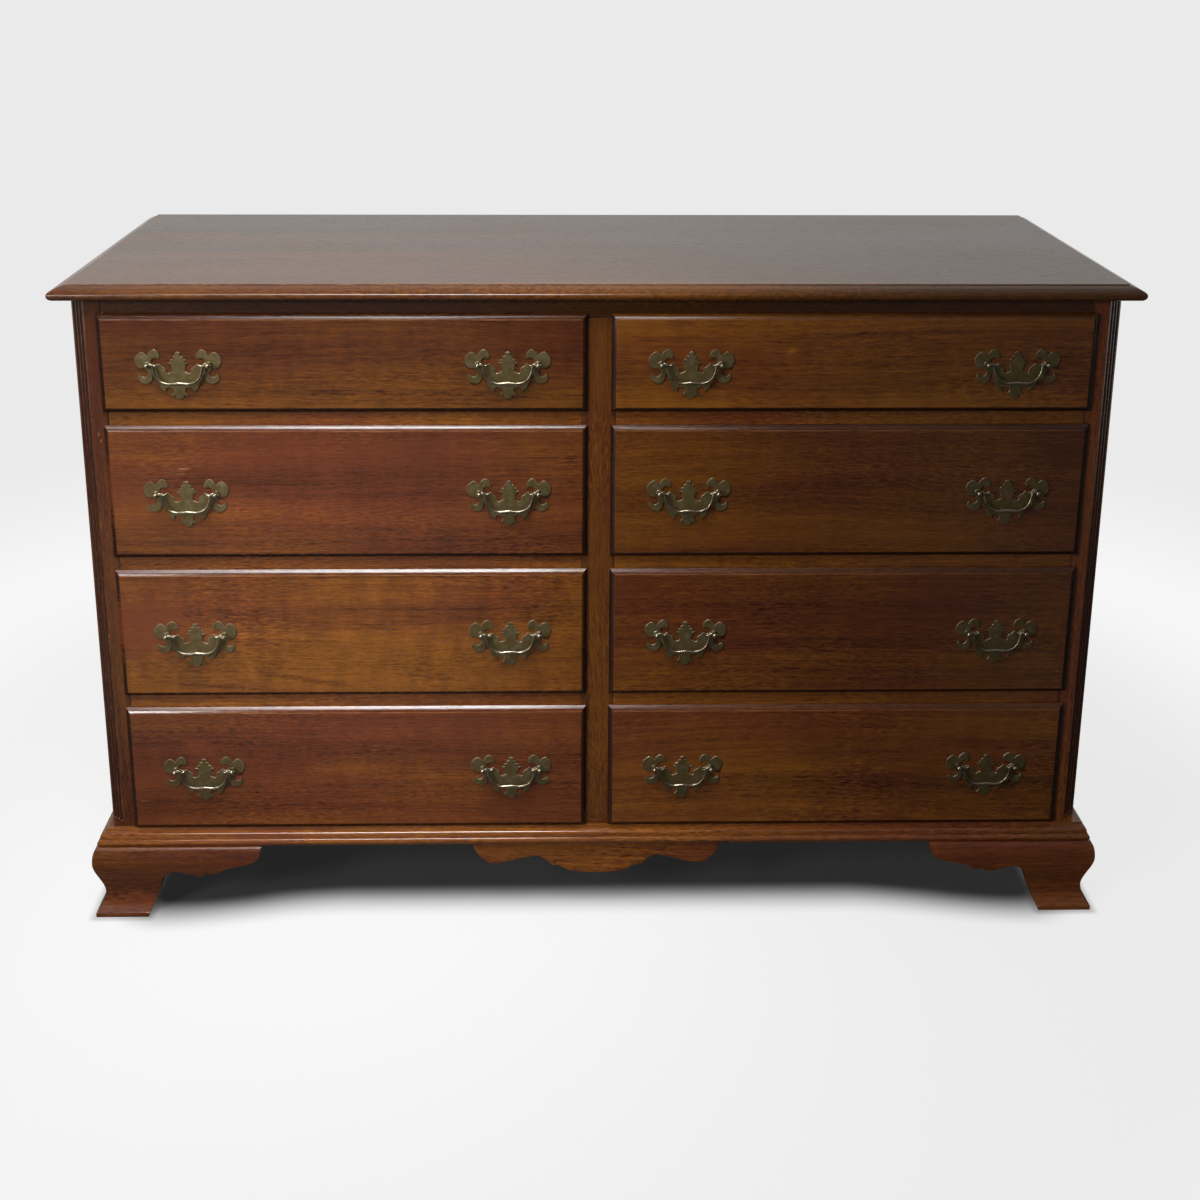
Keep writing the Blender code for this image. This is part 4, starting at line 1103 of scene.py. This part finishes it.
def make_drawer_boxes(shape):
    """Sides, back and bottom of each drawer, in the pale wood."""
    for column, row in OPENINGS:
        tag = f"{column}_{row}"
        low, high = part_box("drawer_box_" + tag)
        number = 151 + 11 * row + 5 * COLUMNS.index(column)
        left, right = low.x + BOX_WALL, high.x - BOX_WALL
        back = high.y - BOX_WALL
        floor = low.z + BOX_BOTTOM_RAISE
        boards = (
            (low, (left, high.y, high.z), ALONG_Y, 0.2),
            ((right, low.y, low.z), high, ALONG_Y, 0.2),
            ((left + JOINT, back, low.z), (right - JOINT, high.y, high.z), ALONG_X, 0.2),
            ((left + JOINT, low.y, floor), (right - JOINT, back - JOINT, floor + BOX_BOTTOM), FLAT_X, 0.0),
        )
        skins = [board(corner, opposite, timber(axes, number + k), shape.edge_ease, worn)
                 for k, (corner, opposite, axes, worn) in enumerate(boards, 1)]
        make_piece("box_" + tag, skins, "drawer_wood_finish", "drawer_box_" + tag, "drawer_" + tag)


# Pulls


def plate_skin(outline, place, shape):
    """The backplate: its outline with a straight wall and a bevel round the front."""
    bevel = shape.plate_bevel
    front = place[1]
    levels = [(bevel, front, 0.15), (bevel * 0.15, front + bevel * 0.7, 1.0), (0.0, front + bevel, 0.9),
              (0.0, front + PLATE_THICK, 0.2)]
    return slab(outline + place[[0, 2]], levels)


def post_skins(place):
    """Two turned posts, whose ball heads are brighter than their stems."""
    profile = drawn(POST_PROFILE, 0.00035)
    bright = 0.1 + 0.5 * np.clip((profile[:, 1:] - 5.8 * MM) / (2 * MM), 0.0, 1.0)
    return [turned(profile, place + (side * POST_APART / 2, 0.0, 0.0), 28, bright) for side, _ in SIDES]


def bail_skins(place, shape):
    """The bail's bent bar, thicker at its grip, and the curl on each shoulder."""
    half_grip = 0.026
    path = evenly(mirrored(smooth(np.array(BAIL_PATH)[:, [0, 2, 1]] * (MM, -MM, MM), 8)), 0.0011)
    share = np.clip(1.0 - np.abs(path[:, 0]) / half_grip, 0.0, 1.0)
    swell = share * share * (3 - 2 * share)
    radii = shape.bail_thick / 2 + (shape.grip_thick - shape.bail_thick) / 2 * swell
    centre = place + (0.0, -PIVOT_PROUD, 0.0)
    skins = [tube(path + centre, radii, 14, 0.2 + 0.6 * swell[:, None])]
    across, up, radii = smooth(np.array(SPUR_PATH) * MM, 5).T
    for side, _ in SIDES:
        line = np.stack([side * across, np.full(len(up), -0.0006), up], axis=1) + centre
        skins.append(tube(line, radii, 12, 1.0))
    return skins


def make_pulls(shape):
    """Sixteen pulls, each a backplate, two ball-headed posts and a bail."""
    half = drawn(PLATE_EDGE, 0.0007)
    outline = mirrored(half)[:-1]
    for column, row in OPENINGS:
        drawer = f"drawer_{column}_{row}"
        for letter in "ab":
            tag = f"{column}_{row}{letter}"
            node = "backplate_" + tag
            low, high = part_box(node)
            place = np.array([(low.x + high.x) / 2, high.y - PLATE_THICK, low.z + PLATE_BELOW_POST])
            make_piece("plate_" + tag, [plate_skin(outline, place, shape)], "plate_brass", node, drawer, 35.0)
            make_piece("posts_" + tag, post_skins(place), "bail_brass", node, drawer, 35.0)
            bail = "bail_" + tag
            make_piece("swing_" + tag, bail_skins(place, shape), "bail_brass", bail, bail, 40.0)


# Stage

# The camera as fitted to the photograph: place, turn to the right, tilt down and roll in degrees
CAMERA_PLACE = (-0.0606, -2.2666, 1.3152)
CAMERA_TURNS = (1.216, 15.81, 0.268)
CAMERA_LENS = 49.45
CAMERA_SHIFT = (0.0121, -0.1723)

# Each lamp's place, what it points at, its width and height, and in degrees how widely its grid
# lets the light out
LAMPS = {
    "key": ((-0.50, -0.98, 1.95), (-0.38, -0.25, 0.35), (1.00, 0.60), 62.0),
    "strip": ((-0.38, -0.98, 1.95), (-0.32, -0.25, 0.35), (0.62, 0.60), 40.0),
    "pool": ((-1.95, -2.25, 1.35), (-0.37, -0.26, 0.42), (0.25, 0.25), 13.0),
    "side": ((-2.30, -2.50, 1.70), (-0.20, -0.25, 0.35), (0.8, 0.7), 110.0),
}

WHITE = (1.0, 1.0, 1.0)
WARM_WHITE = (1.0, 0.97, 0.91)
FAR_FLOOR = (0.97, 0.97, 0.97, 1.0)
LEVEL = (1.0, 1.0, 0.0)


def make_camera():
    """The camera looks along -Z of its own frame, which is rolled, then tilted and then turned."""
    right, down, roll = (math.radians(angle) for angle in CAMERA_TURNS)
    data = bpy.data.cameras.new("camera")
    data.lens = CAMERA_LENS
    data.shift_x, data.shift_y = CAMERA_SHIFT
    camera = bpy.data.objects.new("camera", data)
    place = Matrix.Translation(CAMERA_PLACE)
    for angle, axis in ((-right, "Z"), (math.pi / 2 - down, "X"), (roll, "Z")):
        place = place @ Matrix.Rotation(angle, 4, axis)
    camera.matrix_world = place
    bpy.context.scene.collection.objects.link(camera)
    bpy.context.scene.camera = camera


def make_lamps(stage):
    for name, (place, target, size, spread) in LAMPS.items():
        data = bpy.data.lights.new(name, "AREA")
        data.shape = "RECTANGLE"
        data.size, data.size_y = size
        data.energy = getattr(stage, name)
        data.spread = math.radians(spread)
        light = bpy.data.objects.new(name, data)
        light.location = place
        light.rotation_euler = (Vector(target) - Vector(place)).to_track_quat("-Z", "Y").to_euler()
        bpy.context.scene.collection.objects.link(light)


def seen(nodes, behind):
    """How much of the backdrop a ray sees: all of it for the camera's own rays. Gloss, metal and
    glass see it where it stands, which is behind the dresser, and behind is the mask for that."""
    rays = ("Is Camera Ray", "Is Glossy Ray", "Is Transmission Ray")
    camera, gloss, glass = nodes.add("ShaderNodeLightPath", output=rays)
    return nodes.math("MAXIMUM", camera, nodes.math("MAXIMUM", gloss, glass) * behind)


def make_world(stage):
    """Weak light from the room in front, light from a screen behind that is weaker towards the
    right, more light from both sides for dull surfaces, and a pale grey backdrop."""
    world = bpy.data.worlds.new("studio")
    world.use_nodes = True
    bpy.context.scene.world = world
    nodes = Nodes(world.node_tree)
    x, y, z = nodes.separate(nodes.add("ShaderNodeTexCoord", output="Generated"))
    beside = nodes.ramp(nodes.math("ABSOLUTE", x), 0.35, 0.75)
    behind = nodes.math("SUBTRACT", nodes.ramp(y, 0.0, 0.8), nodes.ramp(x, -0.1, 0.35) * 0.3, clamp=True)
    behind = behind * (1.0 - beside)
    room = nodes.mix(behind, rgba(WHITE, stage.ambient), rgba(WARM_WHITE, stage.screen))
    dull = 1.0 - nodes.add("ShaderNodeLightPath", output="Is Glossy Ray")
    room = nodes.mix(beside * nodes.ramp(y, -0.05, 0.25) * dull, room, rgba(WHITE, stage.sides))
    mirrored_part = nodes.math("MAXIMUM", behind * 0.39, nodes.ramp(z, 0.05, 0.6) * 0.22)
    shown = nodes.mix(seen(nodes, mirrored_part), room, rgba(stage.backdrop))
    nodes.fill(world.node_tree.nodes["Background"], {"Color": shown})


def past_corner(nodes, place, corner):
    """How far a place lies outside a level rectangle about the origin with that corner: the length
    of the differences in X and Y, each at least 0."""
    past = nodes.vector("MAXIMUM", nodes.vector("SUBTRACT", place, corner), (0.0, 0.0, 0.0))
    return nodes.vector("LENGTH", nodes.vector("MULTIPLY", past, LEVEL), output="Value")


def floor_paint(stage):
    """Pale paint that takes the light near the dresser and glows like the backdrop far off. It has
    a painted shadow under the case and close about the feet's pads, and in front of the dresser,
    mostly to the left, it glows for glossy rays, which puts a painted sheen on the drawers."""
    material, nodes, shader = new_material("floor_paint")
    position = nodes.position()
    x, y, _ = nodes.separate(position)
    aside = nodes.vector("ABSOLUTE", position)
    distance = nodes.vector("LENGTH", nodes.vector("MULTIPLY", position, LEVEL), output="Value")
    # Painted shadow under the case: dark within a rectangle a little inside the case, which reaches further
    # forward by the feet, and fading out beyond it.
    shade_in = 0.07
    half_depth = nodes.ramp(nodes.separate(aside)[0], 0.34, 0.60) * 0.036 + (-FACE_Y - shade_in)
    shadow_corner = nodes.add("ShaderNodeCombineXYZ", (CASE_HALF - shade_in, half_depth))
    outside_painted_shadow = nodes.ramp(past_corner(nodes, aside, shadow_corner), 0.012, 0.100)
    # In front of the dresser, mostly to the left and a little to the right, the floor glows for glossy rays
    # too, which paints a sheen into the drawers' reflections.
    left_reflected_glow = nodes.ramp(x * -1.0, -0.05, 0.35) * 0.24
    right_reflected_glow = nodes.ramp(x, 0.45, 0.9) * 0.08
    beside = (left_reflected_glow + right_reflected_glow) * nodes.ramp(y * -1.0, 0.45, 0.95)
    backdrop = seen(nodes, nodes.math("MAXIMUM", nodes.ramp(y, 0.3, 1.3), beside))
    # The base colour carries the painted shadow; to rays that neither the camera nor gloss sends, the floor
    # is darker still, so that it throws back little light.
    shade = (outside_painted_shadow * 0.65 + 0.35) * (backdrop * 0.85 + 0.15)
    nodes.fill(shader, {"Base Color": nodes.scale(tuple(stage.floor), shade), "Roughness": 1.0,
                        "Specular IOR Level": 0.0})
    # A painted shadow close about each foot's pad, in the glow as well.
    half_pad = FOOT_LEG_WIDTH / 2
    pad_middle = (FOOT_HIGH.x - half_pad, -FOOT_LOW.y - half_pad, 0.0)
    from_middle = nodes.vector("ABSOLUTE", nodes.vector("SUBTRACT", aside, pad_middle))
    outside_pad_shadow = nodes.ramp(past_corner(nodes, from_middle, (half_pad, half_pad, 0.0)), 0.0, 0.014)
    glow = outside_painted_shadow * (outside_pad_shadow * 0.45 + 0.55) * 0.98 + 0.02
    far = nodes.mix(nodes.ramp(distance, 1.0, 2.3), FAR_FLOOR, rgba(stage.backdrop))
    plain = nodes.add("ShaderNodeEmission", {"Color": nodes.scale(far, glow)})
    share = (nodes.ramp(distance, 0.9, 1.5) * 0.20 + 0.80) * backdrop
    blend = nodes.add("ShaderNodeMixShader", (share, Wire(nodes, shader.outputs[0]), plain))
    nodes.fill(material.node_tree.nodes["Material Output"], {"Surface": blend})
    return material


def make_floor(stage):
    """A round floor. Its points are rings about the origin whose radii grow by a constant factor."""
    rings, sides = 12, 96
    radii = np.geomspace(0.5, 30.0, rings)[:, None]
    cosine, sine = circle(sides)
    points = np.stack([radii * cosine, radii * sine, np.zeros((rings, sides))], axis=-1)
    index, quads = ring_faces(rings, sides)
    mesh = bpy.data.meshes.new("floor")
    mesh.from_pydata(points.reshape(-1, 3).tolist(), [], quads[:, ::-1].tolist() + [index[0].tolist()])
    mesh.materials.append(floor_paint(stage))
    floor = bpy.data.objects.new("floor", mesh)
    bpy.context.scene.collection.objects.link(floor)


# Operators, panel and main


class DRESSER_OT_top(bpy.types.Operator):
    """Make the top board with its moulded edge"""
    bl_idname = "dresser.top"
    bl_label = "Top"

    def execute(self, context):
        make_top()
        return {"FINISHED"}


class DRESSER_OT_frame(bpy.types.Operator):
    """Make the fluted corner posts, the centre stile and the rails"""
    bl_idname = "dresser.frame"
    bl_label = "Posts, stile and rails"

    def execute(self, context):
        make_frame(context.scene.dresser_shape)
        return {"FINISHED"}


class DRESSER_OT_panels(bpy.types.Operator):
    """Make the side boards, the partition and the runners, and finish the back"""
    bl_idname = "dresser.panels"
    bl_label = "Panels and runners"

    def execute(self, context):
        make_panels(context.scene.dresser_shape)
        return {"FINISHED"}


class DRESSER_OT_base_moulding(bpy.types.Operator):
    """Make the base moulding's three mitred runs"""
    bl_idname = "dresser.base_moulding"
    bl_label = "Base moulding"

    def execute(self, context):
        make_base_moulding()
        return {"FINISHED"}


class DRESSER_OT_feet(bpy.types.Operator):
    """Make the four bracket feet and their blocks"""
    bl_idname = "dresser.feet"
    bl_label = "Feet"

    def execute(self, context):
        make_feet()
        return {"FINISHED"}


class DRESSER_OT_drop(bpy.types.Operator):
    """Make the shaped drop under the middle"""
    bl_idname = "dresser.drop"
    bl_label = "Drop"

    def execute(self, context):
        make_drop()
        return {"FINISHED"}


class DRESSER_OT_drawer_fronts(bpy.types.Operator):
    """Make the eight lipped drawer fronts"""
    bl_idname = "dresser.drawer_fronts"
    bl_label = "Drawer fronts"

    def execute(self, context):
        make_drawer_fronts(context.scene.dresser_shape)
        return {"FINISHED"}


class DRESSER_OT_drawer_boxes(bpy.types.Operator):
    """Make the sides, back and bottom of each drawer"""
    bl_idname = "dresser.drawer_boxes"
    bl_label = "Drawer boxes"

    def execute(self, context):
        make_drawer_boxes(context.scene.dresser_shape)
        return {"FINISHED"}


class DRESSER_OT_pulls(bpy.types.Operator):
    """Make the sixteen pulls"""
    bl_idname = "dresser.pulls"
    bl_label = "Pulls"

    def execute(self, context):
        make_pulls(context.scene.dresser_shape)
        return {"FINISHED"}


class DRESSER_OT_stage(bpy.types.Operator):
    """Make the floor, the lights, the backdrop and the camera"""
    bl_idname = "dresser.stage"
    bl_label = "Stage"

    def execute(self, context):
        stage = context.scene.dresser_stage
        make_camera()
        make_world(stage)
        make_floor(stage)
        make_lamps(stage)
        context.scene.view_settings.view_transform = "Standard"
        return {"FINISHED"}


STEPS = (
    DRESSER_OT_top, DRESSER_OT_frame, DRESSER_OT_panels, DRESSER_OT_base_moulding, DRESSER_OT_feet,
    DRESSER_OT_drop, DRESSER_OT_drawer_fronts, DRESSER_OT_drawer_boxes, DRESSER_OT_pulls, DRESSER_OT_stage,
)
GROUPS = {"dresser_shape": DresserShape, "dresser_finish": DresserFinish, "dresser_stage": DresserStage}


class DRESSER_PT_panel(bpy.types.Panel):
    """Lists the steps that make the dresser"""
    bl_idname = "DRESSER_PT_panel"
    bl_label = "Dresser"
    bl_space_type = "VIEW_3D"
    bl_region_type = "UI"
    bl_category = "Dresser"

    def draw(self, context):
        for step in STEPS:
            self.layout.operator(step.bl_idname)
        for label, group in GROUPS.items():
            box = self.layout.box()
            for name in group.__annotations__:
                box.prop(getattr(context.scene, label), name)


CLASSES = (*GROUPS.values(), *STEPS, DRESSER_PT_panel)


def register():
    for item in CLASSES:
        bpy.utils.register_class(item)
    for label, group in GROUPS.items():
        setattr(bpy.types.Scene, label, bpy.props.PointerProperty(type=group))


def unregister():
    for label in GROUPS:
        delattr(bpy.types.Scene, label)
    for item in reversed(CLASSES):
        bpy.utils.unregister_class(item)


def main():
    register()
    for step in STEPS:
        getattr(bpy.ops.dresser, step.bl_idname.split(".")[1])()


if __name__ == "__main__":
    main()
